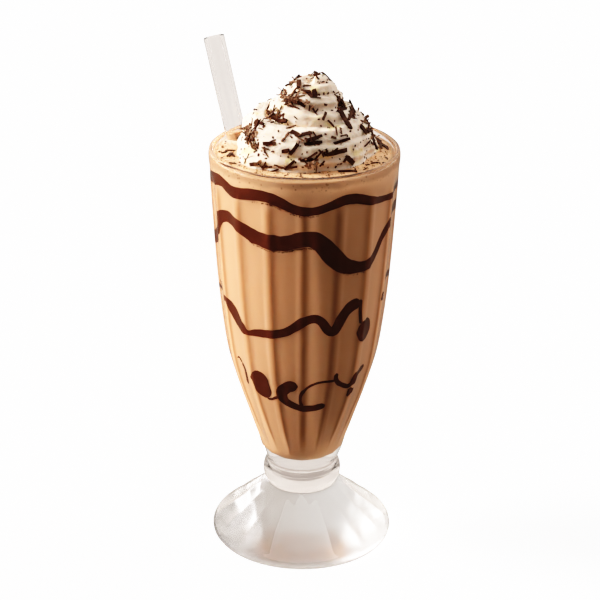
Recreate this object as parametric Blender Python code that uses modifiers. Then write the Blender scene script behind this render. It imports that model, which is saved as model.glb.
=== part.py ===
"""A coffee milkshake with whipped cream, in a footed and fluted soda glass with a clear straw.

Units are metres and +Z is up. The origin is the middle of the foot's flat underside, and
the front of the drink faces -Y. Sizes below are in millimetres and degrees, and MM turns
them into metres where a mesh is made. An angle round the glass is counted from the front,
with +90 at +X.
"""
import math
import random

import bmesh
import bpy
from mathutils import Matrix, Vector
from mathutils.bvhtree import BVHTree

MM = 0.001
PART_NAME = "coffee_milkshake"
CUTTER_COLLECTION = "cutters"
GAP = 0.3

# The glass. Outlines are (radius, height) points.
GLASS_HEIGHT = 185.0
FLUTES = 16
STEPS_PER_FLUTE = 4
FLUTE_DEPTH_RATIO = 0.035
FOOT_FLUTE_DEPTH_RATIO = 0.03
FOOT_OUTLINE = ((0.0, 0.0), (38.8, 0.0), (40.4, 0.7), (40.9, 2.0), (40.2, 3.6), (38.3, 5.2),
                (33.4, 9.8), (28.6, 13.6), (22.6, 18.8), (18.3, 22.8))
COLLAR_BOTTOM = 25.4
COLLAR_TOP = 36.2
COLLAR_RADIUS = 16.0
COLLAR_BULGE = 1.5
COLLAR_STEPS = 5
BOWL_OUTLINE = ((17.7, 41.8), (20.1, 48.9), (22.7, 56.4), (25.8, 65.8), (29.5, 77.1),
                (33.0, 90.2), (35.3, 105.3), (37.1, 122.2), (38.5, 141.0), (39.6, 159.8),
                (40.2, 171.0), (40.3, 177.5), (40.7, 181.5), (40.3, 184.4))
RIM_OUTLINE = ((39.4, GLASS_HEIGHT), (38.6, 184.5))
INNER_OUTLINE = ((38.3, 182.6), (37.8, 171.0), (37.2, 159.8), (35.9, 141.0), (34.3, 122.2),
                 (32.4, 105.3), (30.0, 90.2), (26.3, 77.1), (22.3, 65.8), (18.5, 56.4),
                 (13.9, 47.4), (11.0, 43.4), (7.0, 41.4), (0.0, 40.8))
INNER_FLOOR = 40.8
# Heights between which the bowl's and the foot's flutes fade in and out.
BOWL_FLUTE_FADES = ((40.0, 47.0), (169.0, 177.0))
FOOT_FLUTE_FADES = ((3.8, 9.0), (19.0, 24.5))

# The drink and its syrup. The syrup stands proud of the drink, and both clear the glass.
DRINK_STEPS = 48
SYRUP_PROUD = 0.8
SYRUP_SUNK = 0.7
DRINK_LEVEL = 183.0
DRINK_EDGE_DROP = 0.6
DRINK_EDGE_WIDTH = 6.0

# Syrup ribbons on the drink's side, as (angle, height, width). A ring runs on past its end
# to its first point.
SYRUP_RINGS = (
    ((-76, 174.2, 6.0), (-62, 176.2, 5.2), (-50, 173.8, 5.2), (-31, 175.4, 5.0),
     (-22, 175.2, 4.8), (-15, 173.6, 4.8), (-8, 171.4, 4.2), (0, 170.2, 3.9), (8, 170.3, 3.8),
     (16, 172.0, 4.1), (25, 174.0, 4.5), (34, 173.6, 4.5), (46, 170.9, 3.8), (60, 169.0, 3.0),
     (78, 168.4, 3.2), (100, 170.5, 4.2), (124, 174.5, 5.2), (150, 171.5, 4.2),
     (174, 173.5, 4.6), (200, 176.0, 5.2), (226, 171.5, 4.2), (252, 170.0, 4.4),
     (270, 172.0, 5.4)),
    ((-86, 145.0, 5.6), (-76, 150.0, 6.0), (-68, 158.0, 5.6), (-59, 160.6, 5.2),
     (-50, 160.0, 5.4), (-43, 158.4, 5.8), (-34, 156.2, 6.6), (-24, 155.4, 6.8),
     (-14, 155.0, 6.8), (-7, 156.2, 6.6), (0, 157.8, 6.8), (7, 157.0, 7.2), (13, 153.8, 8.0),
     (20, 148.2, 8.0), (27, 144.2, 7.0), (36, 142.0, 5.6), (45, 141.8, 4.8), (54, 145.2, 4.2),
     (62, 151.4, 3.4), (71, 156.6, 3.6), (84, 159.6, 4.6), (104, 158.6, 5.6),
     (126, 152.6, 6.4), (148, 150.2, 6.2), (170, 156.0, 5.4), (194, 158.4, 5.2),
     (218, 151.0, 6.2), (240, 143.6, 6.0), (258, 141.8, 5.4)),
)
SYRUP_RIBBONS = (
    # The third ribbon, from the right edge round the back to the front.
    ((70, 119.5, 1.8), (77, 127.0, 2.4), (92, 127.6, 3.2), (110, 121.6, 4.2),
     (132, 113.4, 4.6), (156, 111.6, 5.0), (180, 116.8, 4.6), (206, 112.4, 5.2),
     (228, 109.8, 4.2), (248, 115.4, 3.0), (270, 121.0, 2.0), (288, 120.4, 2.2),
     (294, 118.8, 4.6), (300, 116.4, 6.8), (307, 112.8, 6.8), (312, 110.2, 4.2),
     (316, 109.4, 2.4), (323, 110.3, 3.4), (337, 111.9, 4.0), (347, 113.4, 4.0),
     (355, 116.6, 4.0), (361, 119.6, 4.2), (368, 120.3, 4.0), (373, 118.6, 4.0),
     (377.5, 114.8, 4.2), (381, 113.0, 3.6), (385, 116.0, 4.8), (389, 120.6, 5.6),
     (395, 123.6, 5.6), (403, 124.8, 5.0)),
    # A drop beside its end.
    ((51, 115.6, 3.6), (50.5, 112.5, 7.6), (50, 108.5, 8.6), (48.5, 104.6, 4.4)),
    # The scribbles of the fourth row.
    ((-57, 91.6, 1.8), (-53.5, 88.5, 2.2), (-54, 84.5, 2.4), (-55.5, 81.0, 2.0)),
    ((-40.5, 91.0, 7.4), (-38.5, 87.0, 9.4), (-36.5, 81.5, 9.6), (-35.0, 77.2, 7.4)),
    ((-3.5, 86.6, 4.0), (-8, 86.4, 5.2), (-13, 85.4, 5.6), (-17.5, 83.2, 5.2),
     (-18.5, 80.4, 4.6), (-16.5, 78.0, 4.2), (-11.5, 76.2, 3.8), (-2, 74.6, 3.5),
     (9, 73.9, 3.4), (17, 74.6, 3.4), (21.5, 75.6, 2.8)),
    ((27, 92.0, 2.2), (27, 89.2, 2.2), (30, 86.6, 2.2), (36, 84.4, 2.2), (42, 83.0, 2.4),
     (46, 84.2, 2.8), (48, 87.6, 2.6), (53, 89.6, 3.0), (59, 90.0, 2.2)),
    ((46.3, 81.8, 2.6), (46, 79.2, 2.2), (45.6, 76.8, 1.6)),
    # More of them round the back.
    ((96, 88.0, 3.0), (104, 84.6, 4.6), (114, 83.2, 4.2), (122, 86.4, 3.6), (130, 90.6, 3.0)),
    ((146, 91.0, 5.0), (148, 86.0, 8.2), (150, 80.4, 8.0), (151, 76.4, 4.6)),
    ((172, 88.6, 3.2), (164, 85.6, 4.0), (163, 80.6, 4.0), (172, 76.6, 3.6),
     (186, 76.0, 3.6), (198, 79.8, 3.2)),
    ((214, 92.0, 3.2), (212, 86.0, 6.6), (214, 80.0, 5.6)),
    ((232, 80.2, 3.0), (242, 82.8, 3.6), (254, 88.0, 3.4), (266, 88.6, 2.8)),
)

# The straw: a clear tube whose foot stands on the drink's floor and which leans on the rim.
STRAW_OUTSIDE = 8.9
STRAW_WALL = 1.35
STRAW_LENGTH = 183.0
STRAW_FOOT = (1.1, -5.9, 50.0)
STRAW_LEAN = 15.5
STRAW_TOWARDS = 145.1
STRAW_SIDES = 20

# The whipped cream: a dome with one soft rope wound up it. Its outline is (radius, height)
# above its base, and the rope's turns are one pitch apart.
CREAM_BASE = DRINK_LEVEL + GAP
CREAM_MIDDLE = (0.8, -0.4)
CREAM_OUTLINE = ((26.4, 0.0), (28.0, 3.0), (28.0, 8.0), (26.6, 12.0), (24.4, 15.0),
                 (21.4, 17.5), (18.0, 19.5), (15.6, 22.0), (14.0, 25.0), (11.8, 28.0),
                 (9.0, 30.5), (5.8, 32.5), (2.8, 33.9), (0.0, 34.5))
CREAM_LEVELS = 19
CREAM_STEPS = 40
ROPE_PITCH = 6.7
ROPE_GROOVE = 2.3
ROPE_START = 0.12
ROPE_FADE = 7.0
# Folds left by the nozzle's points, across the rope.
FOLDS = 13
FOLD_DEPTH = 0.5
FOLD_TWIST = 0.22

# Chocolate shavings on the cream, as (angle, height over its base, spin, length, width).
SHAVINGS = (
    (50, 17.0, 68, 9.7, 2.6), (-11, 9.8, 55, 5.7, 1.6), (39, 3.8, -40, 6.5, 2.2),
    (-34, 10.8, 10, 5.6, 1.6), (26, 8.2, 4, 9.4, 1.8), (6, 12.3, 5, 7.4, 1.5),
    (7, 14.2, 12, 7.0, 1.2), (34, 11.8, 8, 7.6, 1.2), (-43, 2.0, 16, 5.0, 1.6),
    (-14, 3.4, 46, 6.0, 1.2), (-11, 15.4, -21, 4.8, 1.9), (0, 15.8, 16, 4.4, 1.4),
    (25, 20.4, 60, 4.0, 1.2), (81, 4.8, -70, 5.6, 1.6), (65, 13.4, -80, 4.6, 2.2),
    (76, 17.6, 25, 7.4, 1.6), (80, 10.6, -30, 8.6, 1.7), (72, 24.0, -60, 4.2, 1.5),
    (19, 28.0, -80, 3.8, 2.0), (-35, 31.0, -60, 4.0, 2.0), (-24, 32.6, -35, 4.8, 1.3),
    (-57, 16.4, 10, 6.4, 1.4), (-48, 17.2, -12, 5.4, 1.9), (-35, 17.8, 18, 5.0, 2.0),
    (-18, 9.0, 20, 3.4, 1.8), (0, 5.8, 6, 5.4, 1.4), (72, 20.0, -20, 4.4, 1.6),
    (-29, 25.0, 0, 6.0, 1.6), (-10, 24.4, -30, 3.6, 1.6), (6, 27.4, -50, 4.4, 1.4),
    (-62, 9.4, 6, 5.4, 1.5), (-54, 11.6, -60, 4.4, 1.4),
)
HIDDEN_SHAVINGS = 26
HIDDEN_SEED = 11
HIDDEN_ANGLES = (98.0, 262.0)
HIDDEN_HEIGHTS = (3.0, 31.0)
HIDDEN_LENGTHS = (3.6, 8.4)
HIDDEN_WIDTHS = (1.2, 2.2)
SHAVING_THICKNESS = 1.1
SHAVING_SUNK = 0.35
SHAVING_TILT = 14.0
# Shavings on the drink itself, as (angle, radius, spin, length, width).
DRINK_SHAVINGS = (
    (34, 31.6, 4, 7.6, 1.6), (102, 34.2, -60, 6.4, 1.5), (-78, 32.0, 70, 4.6, 1.5),
    (122, 32.6, 30, 5.8, 1.6), (176, 32.8, 80, 6.2, 1.5), (-124, 33.0, -35, 5.2, 1.5),
)


def smooth_step(low, high, value):
    """Return 0 below low, 1 above high and a soft slope between."""
    share = min(max((value - low) / (high - low), 0.0), 1.0)
    return share * share * (3.0 - 2.0 * share)


def between(outline, height):
    """Return an outline's radius at a height; its heights may run up or down."""
    points = sorted(((z, r) for r, z in outline))
    if height <= points[0][0]:
        return points[0][1]
    for (z0, r0), (z1, r1) in zip(points, points[1:]):
        if height <= z1:
            return r0 + (r1 - r0) * (height - z0) / (z1 - z0)
    return points[-1][1]


def radians_from_front(degrees):
    """Turn an angle counted from the front into one counted from +X."""
    return math.radians(degrees - 90.0)


def material(name, colour, roughness, transmission=0.0):
    """Return a plain material."""
    finish = bpy.data.materials.new(name)
    finish.use_nodes = True
    shader = finish.node_tree.nodes["Principled BSDF"]
    shader.inputs["Base Color"].default_value = (*colour, 1.0)
    shader.inputs["Roughness"].default_value = roughness
    shader.inputs["Metallic"].default_value = 0.0
    shader.inputs["Transmission Weight"].default_value = transmission
    return finish


def new_object(name, mesh, collection, finish=None):
    """Link a mesh into a collection as an object, with its material."""
    obj = bpy.data.objects.new(name, mesh)
    collection.objects.link(obj)
    if finish is not None:
        mesh.materials.append(finish)
    return obj


def apply_modifiers(obj):
    """Bake an object's modifiers into its mesh."""
    depsgraph = bpy.context.evaluated_depsgraph_get()
    baked = bpy.data.meshes.new_from_object(obj.evaluated_get(depsgraph))
    old = obj.data
    obj.modifiers.clear()
    obj.data = baked
    bpy.data.meshes.remove(old)
    baked.name = obj.name


def turned(name, outline, steps, collection, finish):
    """Turn an outline about Z. The outline runs up its inner side and down its outer one."""
    mesh = bpy.data.meshes.new(name)
    points = [(radius * MM, 0.0, height * MM) for radius, height in outline]
    mesh.from_pydata(points, [(i, i + 1) for i in range(len(points) - 1)], [])
    obj = new_object(name, mesh, collection, finish)
    screw = obj.modifiers.new("Turn", "SCREW")
    screw.steps = steps
    screw.render_steps = steps
    screw.use_merge_vertices = True
    screw.merge_threshold = 0.00001
    screw.use_smooth_shade = True
    apply_modifiers(obj)
    return obj


def flute_depth(radius, height):
    """Return how deep the flutes are cut at a point of the glass's outside."""
    for ratio, (rise, fall) in ((FLUTE_DEPTH_RATIO, BOWL_FLUTE_FADES),
                                (FOOT_FLUTE_DEPTH_RATIO, FOOT_FLUTE_FADES)):
        if rise[0] < height < fall[1]:
            return ratio * radius * smooth_step(*rise, height) * (1.0 - smooth_step(*fall, height))
    return 0.0


def cut_flutes(obj):
    """Hollow the outside of the glass between sharp ridges, one of which faces the front."""
    for vert in obj.data.vertices:
        radius = math.hypot(vert.co.x, vert.co.y) / MM
        height = vert.co.z / MM
        if height > INNER_FLOOR and radius < between(INNER_OUTLINE, height) + GAP:
            continue
        angle = math.atan2(vert.co.y, vert.co.x) - radians_from_front(0.0)
        scoop = abs(math.sin(angle * FLUTES / 2.0))
        if radius > GAP:
            share = 1.0 - flute_depth(radius, height) * scoop / radius
            vert.co.x *= share
            vert.co.y *= share


def make_glass(collection):
    """Make the glass: foot, ringed collar and fluted bowl in one piece."""
    collar = []
    for step in range(COLLAR_STEPS + 1):
        share = step / COLLAR_STEPS
        height = COLLAR_BOTTOM + (COLLAR_TOP - COLLAR_BOTTOM) * share
        collar.append((COLLAR_RADIUS + COLLAR_BULGE * math.sin(math.pi * share), height))
    outside = FOOT_OUTLINE + tuple(collar) + BOWL_OUTLINE
    outline = INNER_OUTLINE[::-1] + RIM_OUTLINE[::-1] + outside[::-1]
    finish = material("glass_clear", (0.93, 0.95, 0.94), 0.02, transmission=1.0)
    glass = turned("glass", outline, FLUTES * STEPS_PER_FLUTE, collection, finish)
    cut_flutes(glass)
    glass.data.set_sharp_from_angle(angle=math.radians(40.0))
    return glass


def drink_radius(height):
    """Return the radius of the drink's side, which leaves room for the syrup."""
    return between(INNER_OUTLINE, height) - SYRUP_PROUD - GAP


def make_drink_body(collection, finish):
    """Make the bare drink, up to its level."""
    side = []
    for _, height in INNER_OUTLINE:
        if INNER_FLOOR + 1.0 < height < DRINK_LEVEL - DRINK_EDGE_DROP - 1.0:
            side.append((drink_radius(height), height + GAP))
    edge_level = DRINK_LEVEL - DRINK_EDGE_DROP
    edge = drink_radius(edge_level)
    top = [(0.0, DRINK_LEVEL), (edge - DRINK_EDGE_WIDTH, DRINK_LEVEL), (edge, edge_level)]
    outline = top + side + [(0.0, INNER_FLOOR + SYRUP_PROUD + GAP)]
    return turned("milkshake", outline, DRINK_STEPS, collection, finish)


def ribbon(path, closed, collection):
    """Make a syrup ribbon that follows the drink's side, as a thick closed strip."""
    count = len(path)
    sections = []
    for index, (angle, height, width) in enumerate(path):
        before = path[(index - 1) % count] if closed or index else path[index]
        after = path[(index + 1) % count] if closed or index + 1 < count else path[index]
        radius = drink_radius(height)
        turn = after[0] - before[0]
        if closed and turn < -180.0:
            turn += 360.0
        along = Vector((math.radians(turn) * radius, after[1] - before[1])).normalized()
        across = Vector((-along.y, along.x)) * width / 2.0
        sides = []
        for sign in (-1.0, 1.0):
            level = height + sign * across.y
            out = drink_radius(level) + SYRUP_PROUD
            around = radians_from_front(angle) + sign * across.x / radius
            sides.append(Vector((math.cos(around) * out, math.sin(around) * out, level)) * MM)
        sections.append(sides)
    points = [point for sides in sections for point in sides]
    faces = []
    for index in range(count if closed else count - 1):
        here = 2 * index
        there = 2 * ((index + 1) % count)
        faces.append((here, there, there + 1, here + 1))
    mesh = bpy.data.meshes.new("ribbon")
    mesh.from_pydata(points, [], faces)
    obj = new_object("ribbon", mesh, collection)
    shell = obj.modifiers.new("Thickness", "SOLIDIFY")
    shell.thickness = (SYRUP_PROUD + SYRUP_SUNK) * MM
    shell.offset = -1.0
    shell.use_even_offset = False
    apply_modifiers(obj)
    return obj


def shaving(place, normal, spin, length, width, collection):
    """Make one flat stick of chocolate, a little sunk where it lies."""
    place = place + normal * (SHAVING_THICKNESS / 2.0 - SHAVING_SUNK) * MM
    sideways = Vector((0.0, 0.0, 1.0)).cross(normal)
    if sideways.length < 0.1:
        sideways = Vector((1.0, 0.0, 0.0))
    sideways.normalize()
    upwards = normal.cross(sideways)
    turn = math.radians(spin)
    along = sideways * math.cos(turn) + upwards * math.sin(turn)
    across = normal.cross(along)
    mesh = bpy.data.meshes.new("shaving")
    cube = bmesh.new()
    bmesh.ops.create_cube(cube, size=1.0)
    cube.to_mesh(mesh)
    cube.free()
    frame = Matrix((along * length, across * width, normal * SHAVING_THICKNESS)).transposed()
    mesh.transform(Matrix.Translation(place) @ (frame * MM).to_4x4())
    return new_object("shaving", mesh, collection)


def fuse(obj, pieces):
    """Join a collection of pieces to an object with one Boolean union, and remove them."""
    union = obj.modifiers.new("Fuse", "BOOLEAN")
    union.operation = "UNION"
    union.operand_type = "COLLECTION"
    union.collection = pieces
    union.solver = "EXACT"
    apply_modifiers(obj)
    for piece in list(pieces.objects):
        bpy.data.objects.remove(piece)
    bpy.data.collections.remove(pieces)


def cut_with(obj, cutter):
    """Cut an object with another that stays as a hidden cutter."""
    cut = obj.modifiers.new("Cut", "BOOLEAN")
    cut.operation = "DIFFERENCE"
    cut.object = cutter
    cut.solver = "EXACT"
    apply_modifiers(obj)


def keep_largest_body(obj):
    """Remove loose scraps that a cut has left."""
    mesh = bmesh.new()
    mesh.from_mesh(obj.data)
    unseen = set(mesh.verts)
    bodies = []
    while unseen:
        body = {unseen.pop()}
        edge = list(body)
        while edge:
            for link in edge.pop().link_edges:
                for vert in link.verts:
                    if vert in unseen:
                        unseen.remove(vert)
                        body.add(vert)
                        edge.append(vert)
        bodies.append(body)
    bodies.sort(key=len)
    for body in bodies[:-1]:
        bmesh.ops.delete(mesh, geom=list(body), context="VERTS")
    mesh.to_mesh(obj.data)
    mesh.free()


def new_collection(name):
    """Add a collection to the scene."""
    collection = bpy.data.collections.new(name)
    bpy.context.scene.collection.children.link(collection)
    return collection


def straw_axis():
    """Return the straw's foot in metres and its direction."""
    lean = math.radians(STRAW_LEAN)
    towards = math.radians(STRAW_TOWARDS)
    flat = math.sin(lean)
    direction = Vector((flat * math.cos(towards), flat * math.sin(towards), math.cos(lean)))
    return Vector(STRAW_FOOT) * MM, direction


def straw_tube(name, radius, first, last, capped, collection, finish=None):
    """Make a cylinder on the straw's axis, between two distances from its foot."""
    foot, direction = straw_axis()
    tube = bmesh.new()
    bmesh.ops.create_cone(tube, cap_ends=capped, segments=STRAW_SIDES, radius1=radius * MM,
                          radius2=radius * MM, depth=(last - first) * MM)
    mesh = bpy.data.meshes.new(name)
    tube.to_mesh(mesh)
    tube.free()
    obj = new_object(name, mesh, collection, finish)
    obj.location = foot + direction * ((first + last) / 2.0 * MM)
    obj.rotation_euler = direction.to_track_quat("Z", "Y").to_euler()
    return obj


def make_straw(collection):
    """Make the straw, a straight tube that is open at both ends."""
    finish = material("straw_clear", (0.9, 0.9, 0.9), 0.05, transmission=1.0)
    straw = straw_tube("straw", STRAW_OUTSIDE / 2.0, 0.0, STRAW_LENGTH, False, collection, finish)
    shell = straw.modifiers.new("Wall", "SOLIDIFY")
    shell.thickness = STRAW_WALL * MM
    shell.offset = -1.0
    straw.data.shade_smooth()
    return straw


def make_straw_cutter(collection):
    """Make the room for the straw that is cut from the drink and the cream."""
    radius = (STRAW_OUTSIDE / 2.0 + GAP) / math.cos(math.pi / STRAW_SIDES)
    cutter = straw_tube("straw_room", radius, -GAP, STRAW_LENGTH + GAP, True, collection)
    cutter.hide_render = True
    cutter.display_type = "WIRE"
    return cutter


def make_milkshake(collection, cutter):
    """Make the drink with its syrup and the shavings on its top, cut round the straw."""
    finish = material("milkshake_coffee", (0.55, 0.34, 0.19), 0.35)
    drink = make_drink_body(collection, finish)
    pieces = new_collection("syrup")
    for path in SYRUP_RINGS:
        ribbon(path, True, pieces)
    for path in SYRUP_RIBBONS:
        ribbon(path, False, pieces)
    for angle, radius, spin, length, width in DRINK_SHAVINGS:
        around = radians_from_front(angle)
        place = Vector((math.cos(around) * radius, math.sin(around) * radius, DRINK_LEVEL)) * MM
        shaving(place, Vector((0.0, 0.0, 1.0)), spin, length, width, pieces)
    fuse(drink, pieces)
    cut_with(drink, cutter)
    keep_largest_body(drink)
    return drink


def cream_radius(angle, height):
    """Return the cream's radius at an angle from +X and a height over its base."""
    turn = (height / ROPE_PITCH + angle / math.tau + ROPE_START) % 1.0
    rope = math.sqrt(max(1.0 - (2.0 * turn - 1.0) ** 2, 0.0))
    top = CREAM_OUTLINE[-1][1]
    fade = min((top - height) / ROPE_FADE, 1.0)
    fold = FOLD_DEPTH * math.cos(FOLDS * (angle + FOLD_TWIST * height))
    return between(CREAM_OUTLINE, height) - fade * (ROPE_GROOVE * (1.0 - rope) - fold * rope)


def make_cream_body(collection, finish):
    """Make the bare cream: a turned dome whose skin is pushed into a wound rope."""
    top = CREAM_OUTLINE[-1][1]
    outline = [(0.0, CREAM_BASE + top)]
    for level in range(CREAM_LEVELS - 1, -1, -1):
        height = top * level / CREAM_LEVELS
        outline.append((between(CREAM_OUTLINE, height), CREAM_BASE + height))
    outline.append((0.0, CREAM_BASE))
    cream = turned("whipped_cream", outline, CREAM_STEPS, collection, finish)
    for vert in cream.data.vertices:
        if math.hypot(vert.co.x, vert.co.y) > GAP * MM:
            angle = math.atan2(vert.co.y, vert.co.x)
            radius = cream_radius(angle, vert.co.z / MM - CREAM_BASE) * MM
            vert.co.x = radius * math.cos(angle)
            vert.co.y = radius * math.sin(angle)
    cream.data.transform(Matrix.Translation(Vector((*CREAM_MIDDLE, 0.0)) * MM))
    return cream


def all_shavings():
    """Return the shavings on the cream: those in front, then the seeded ones behind."""
    draw = random.Random(HIDDEN_SEED)
    hidden = []
    for index in range(HIDDEN_SHAVINGS):
        share = (index + draw.random()) / HIDDEN_SHAVINGS
        angle = HIDDEN_ANGLES[0] + (HIDDEN_ANGLES[1] - HIDDEN_ANGLES[0]) * share
        height = draw.uniform(*HIDDEN_HEIGHTS)
        spin = draw.uniform(-90.0, 90.0)
        hidden.append((angle, height, spin, draw.uniform(*HIDDEN_LENGTHS),
                       draw.uniform(*HIDDEN_WIDTHS)))
    return SHAVINGS + tuple(hidden)


def make_cream(collection, cutter):
    """Make the whipped cream with its chocolate shavings, clear of the straw."""
    finish = material("cream_white", (0.93, 0.88, 0.8), 0.45)
    cream = make_cream_body(collection, finish)
    skin = BVHTree.FromPolygons([vert.co for vert in cream.data.vertices],
                                [face.vertices for face in cream.data.polygons])
    foot, direction = straw_axis()
    pieces = new_collection("shavings")
    draw = random.Random(HIDDEN_SEED)
    middle = Vector((*CREAM_MIDDLE, 0.0)) * MM
    for angle, height, spin, length, width in all_shavings():
        around = radians_from_front(angle)
        outward = Vector((math.cos(around), math.sin(around), 0.0))
        level = Vector((0.0, 0.0, CREAM_BASE + height)) * MM
        start = middle + level + outward * (CREAM_OUTLINE[1][0] + length) * MM
        place, normal, _, _ = skin.ray_cast(start, -outward)
        tilt = Matrix.Rotation(math.radians(draw.uniform(-SHAVING_TILT, SHAVING_TILT)), 3, "Z")
        normal = (tilt @ normal).normalized()
        reach = (length / 2.0 + STRAW_OUTSIDE / 2.0 + GAP) * MM
        along = (place - foot).dot(direction)
        if (place - foot - direction * along).length < reach:
            continue
        if place.z - (CREAM_BASE + length / 2.0) * MM < 0.0 and abs(spin) > 45.0:
            continue
        shaving(place, normal, spin, length, width, pieces)
    fuse(cream, pieces)
    cut_with(cream, cutter)
    keep_largest_body(cream)
    return cream


def main():
    """Clear the scene and make the four pieces."""
    for obj in list(bpy.data.objects):
        bpy.data.objects.remove(obj)
    part = new_collection(PART_NAME)
    cutter = make_straw_cutter(new_collection(CUTTER_COLLECTION))
    make_glass(part)
    make_milkshake(part, cutter)
    make_straw(part)
    make_cream(part, cutter)


main()
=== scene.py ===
"""Looks of a coffee milkshake: glass, drink, syrup, straw, whipped cream and shavings.

Lengths in the outlines are millimetres, and MM turns them into metres where a mesh is made.
Angles round the glass are degrees counted from its front, which faces -Y, with +90 at +X.
"""

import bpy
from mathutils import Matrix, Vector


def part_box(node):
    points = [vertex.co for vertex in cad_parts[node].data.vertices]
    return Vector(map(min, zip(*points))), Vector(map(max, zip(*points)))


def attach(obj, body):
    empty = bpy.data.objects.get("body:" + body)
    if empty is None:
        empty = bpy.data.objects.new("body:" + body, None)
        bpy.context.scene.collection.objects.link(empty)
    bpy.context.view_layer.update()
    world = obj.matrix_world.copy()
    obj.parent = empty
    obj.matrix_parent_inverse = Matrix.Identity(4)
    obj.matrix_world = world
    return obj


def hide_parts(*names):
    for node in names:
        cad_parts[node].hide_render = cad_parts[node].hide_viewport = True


bl_info = {
    "name": "Coffee Milkshake",
    "version": (1, 0, 0),
    "blender": (4, 5, 0),
    "location": "View3D > Sidebar > Milkshake",
    "description": "Makes a coffee milkshake with cream and shavings in a fluted soda glass",
    "category": "Add Mesh",
}

import math
import random

import bpy
import numpy as np
from bpy.props import FloatProperty, FloatVectorProperty, IntProperty, PointerProperty
from mathutils import Matrix, Vector, noise
from mathutils.bvhtree import BVHTree

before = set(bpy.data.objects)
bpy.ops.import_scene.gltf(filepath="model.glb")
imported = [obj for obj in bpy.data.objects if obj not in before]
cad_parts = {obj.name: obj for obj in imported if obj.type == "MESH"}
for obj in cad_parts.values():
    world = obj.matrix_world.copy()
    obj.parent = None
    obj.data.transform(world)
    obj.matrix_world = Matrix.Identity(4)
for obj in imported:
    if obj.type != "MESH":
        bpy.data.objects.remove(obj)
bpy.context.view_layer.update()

BODY = "root"
MM = 0.001
FRONT = -math.pi / 2.0
UP = Vector((0.0, 0.0, 1.0))
WHITE = (1.0, 1.0, 1.0)
# The palest that a part of a mixed colour may be.
PALEST = 0.95

# The glass, as (radius, height) outlines.
FLUTES = 16
FLUTE_ANGLE = math.tau / FLUTES
STEPS_PER_FLUTE = 20
AROUND = FLUTES * STEPS_PER_FLUTE
ALL_ROUND = FRONT + np.linspace(0.0, math.tau, AROUND, endpoint=False)
GLASS_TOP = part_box("glass")[1][2] / MM
OUTSIDE_OUTLINE = ((39.45, GLASS_TOP), (40.1, GLASS_TOP - 0.25), (40.5, GLASS_TOP - 1.0),
                   (40.7, 182.4), (40.65, 180.4), (40.35, 177.8), (40.2, 171.0), (39.6, 159.8),
                   (38.5, 141.0), (37.1, 122.2), (35.3, 105.3), (33.0, 90.2), (29.5, 77.1),
                   (25.8, 65.8), (22.7, 56.4), (20.1, 48.9), (17.9, 42.0), (16.5, 38.2),
                   (16.0, 36.2))
COLLAR_OUTLINE = ((16.0, 36.2), (16.55, 34.9), (17.2, 33.2), (17.5, 30.8), (17.2, 28.4),
                  (16.55, 26.7), (16.0, 25.4))
FOOT_OUTLINE = ((16.0, 25.4), (18.3, 22.8), (22.6, 18.8), (28.6, 13.6), (33.4, 9.8),
                (38.3, 5.2), (40.2, 3.6), (40.85, 2.3), (40.7, 1.1), (40.0, 0.3), (38.8, 0.0))
INSIDE_OUTLINE = ((0.0, 40.8), (3.5, 40.85), (7.0, 41.4), (11.0, 43.4), (13.9, 47.4),
                  (18.5, 56.4), (22.3, 65.8), (26.3, 77.1), (30.0, 90.2), (32.4, 105.3),
                  (34.3, 122.2), (35.9, 141.0), (37.2, 159.8), (37.8, 171.0), (38.3, 181.6),
                  (38.5, 183.8), (38.85, GLASS_TOP - 0.25), (39.45, GLASS_TOP))
UNDERSIDE_RADII = (30.0, 18.0, 6.0)
# The heights between which each set of flutes fades in, and out again.
BOWL_FLUTE_FADES = ((42.0, 56.0), (169.0, 177.0))
FOOT_FLUTE_FADES = ((3.8, 9.0), (19.0, 24.5))
# How much of a flute's depth its ridges are rounded by.
RIDGE_ROUNDING = 0.1
# The swell of the inside behind each ridge, as shares of the radius and of a flute's width.
SWELL_DEPTH = 0.012
SWELL_WIDTH = 0.26

# Clear glass: how it bends light, and the colour of the light that its shadow lets pass.
GLASS_BENDING = 1.5
GLASS_SHADOW = (0.97, 0.97, 0.96)
# The glass is thick and greyer below the first height, turns to the collar's darker tint, which is
# painted shade, between the next two, and has painted shade at the foot's edge between the last
# two.
THICK_GLASS_TOP = 38.0
COLLAR_SHADE_HEIGHTS = (23.5, 26.5)
FOOT_EDGE_SHADE_HEIGHTS = (1.0, 4.5)
FOOT_EDGE_SHADE = 0.7
# The underside is ground below this height.
UNDERSIDE_TOP = 0.1
UNDERSIDE_ROUGHNESS = 0.25

# The drink's level, how far what fills the glass reaches into its wall, and how far the syrup
# reaches into the drink.
DRINK_LEVEL = 183.0
DRINK_REACH = 0.12
SYRUP_REACH = 0.3
SYRUP_SUNK = 0.5
# The drink reaches into the wall from the lower of these heights, and fully from the upper.
BOWL_FLOOR_HEIGHTS = (40.8, 45.0)
# The froth is lower at the glass, over a width, and has no lumps in a narrower one.
FROTH_EDGE_DROP = 0.5
FROTH_EDGE_WIDTH = 5.0
FROTH_EVEN_WIDTH = 1.2
FROTH_EDGE_LEVEL = DRINK_LEVEL - FROTH_EDGE_DROP
FROTH_ROWS = 64
# The lumps of the froth and of the cream's skin, as the (scale, height) of noises.
FROTH_LUMPS = ((0.16, 0.22), (0.7, 0.1))
CREAM_LUMPS = ((0.09, 1.0), (0.24, 0.55), (0.8, 0.12))
# The bubbles: how far in from the froth's edge they start, over what width, and their radii,
# as the least and what is added to it.
BUBBLES_FROM = 0.9
BUBBLES_WIDTH = 10.1
BUBBLE_LEAST = 0.1
BUBBLE_GROWTH = 0.35
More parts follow.
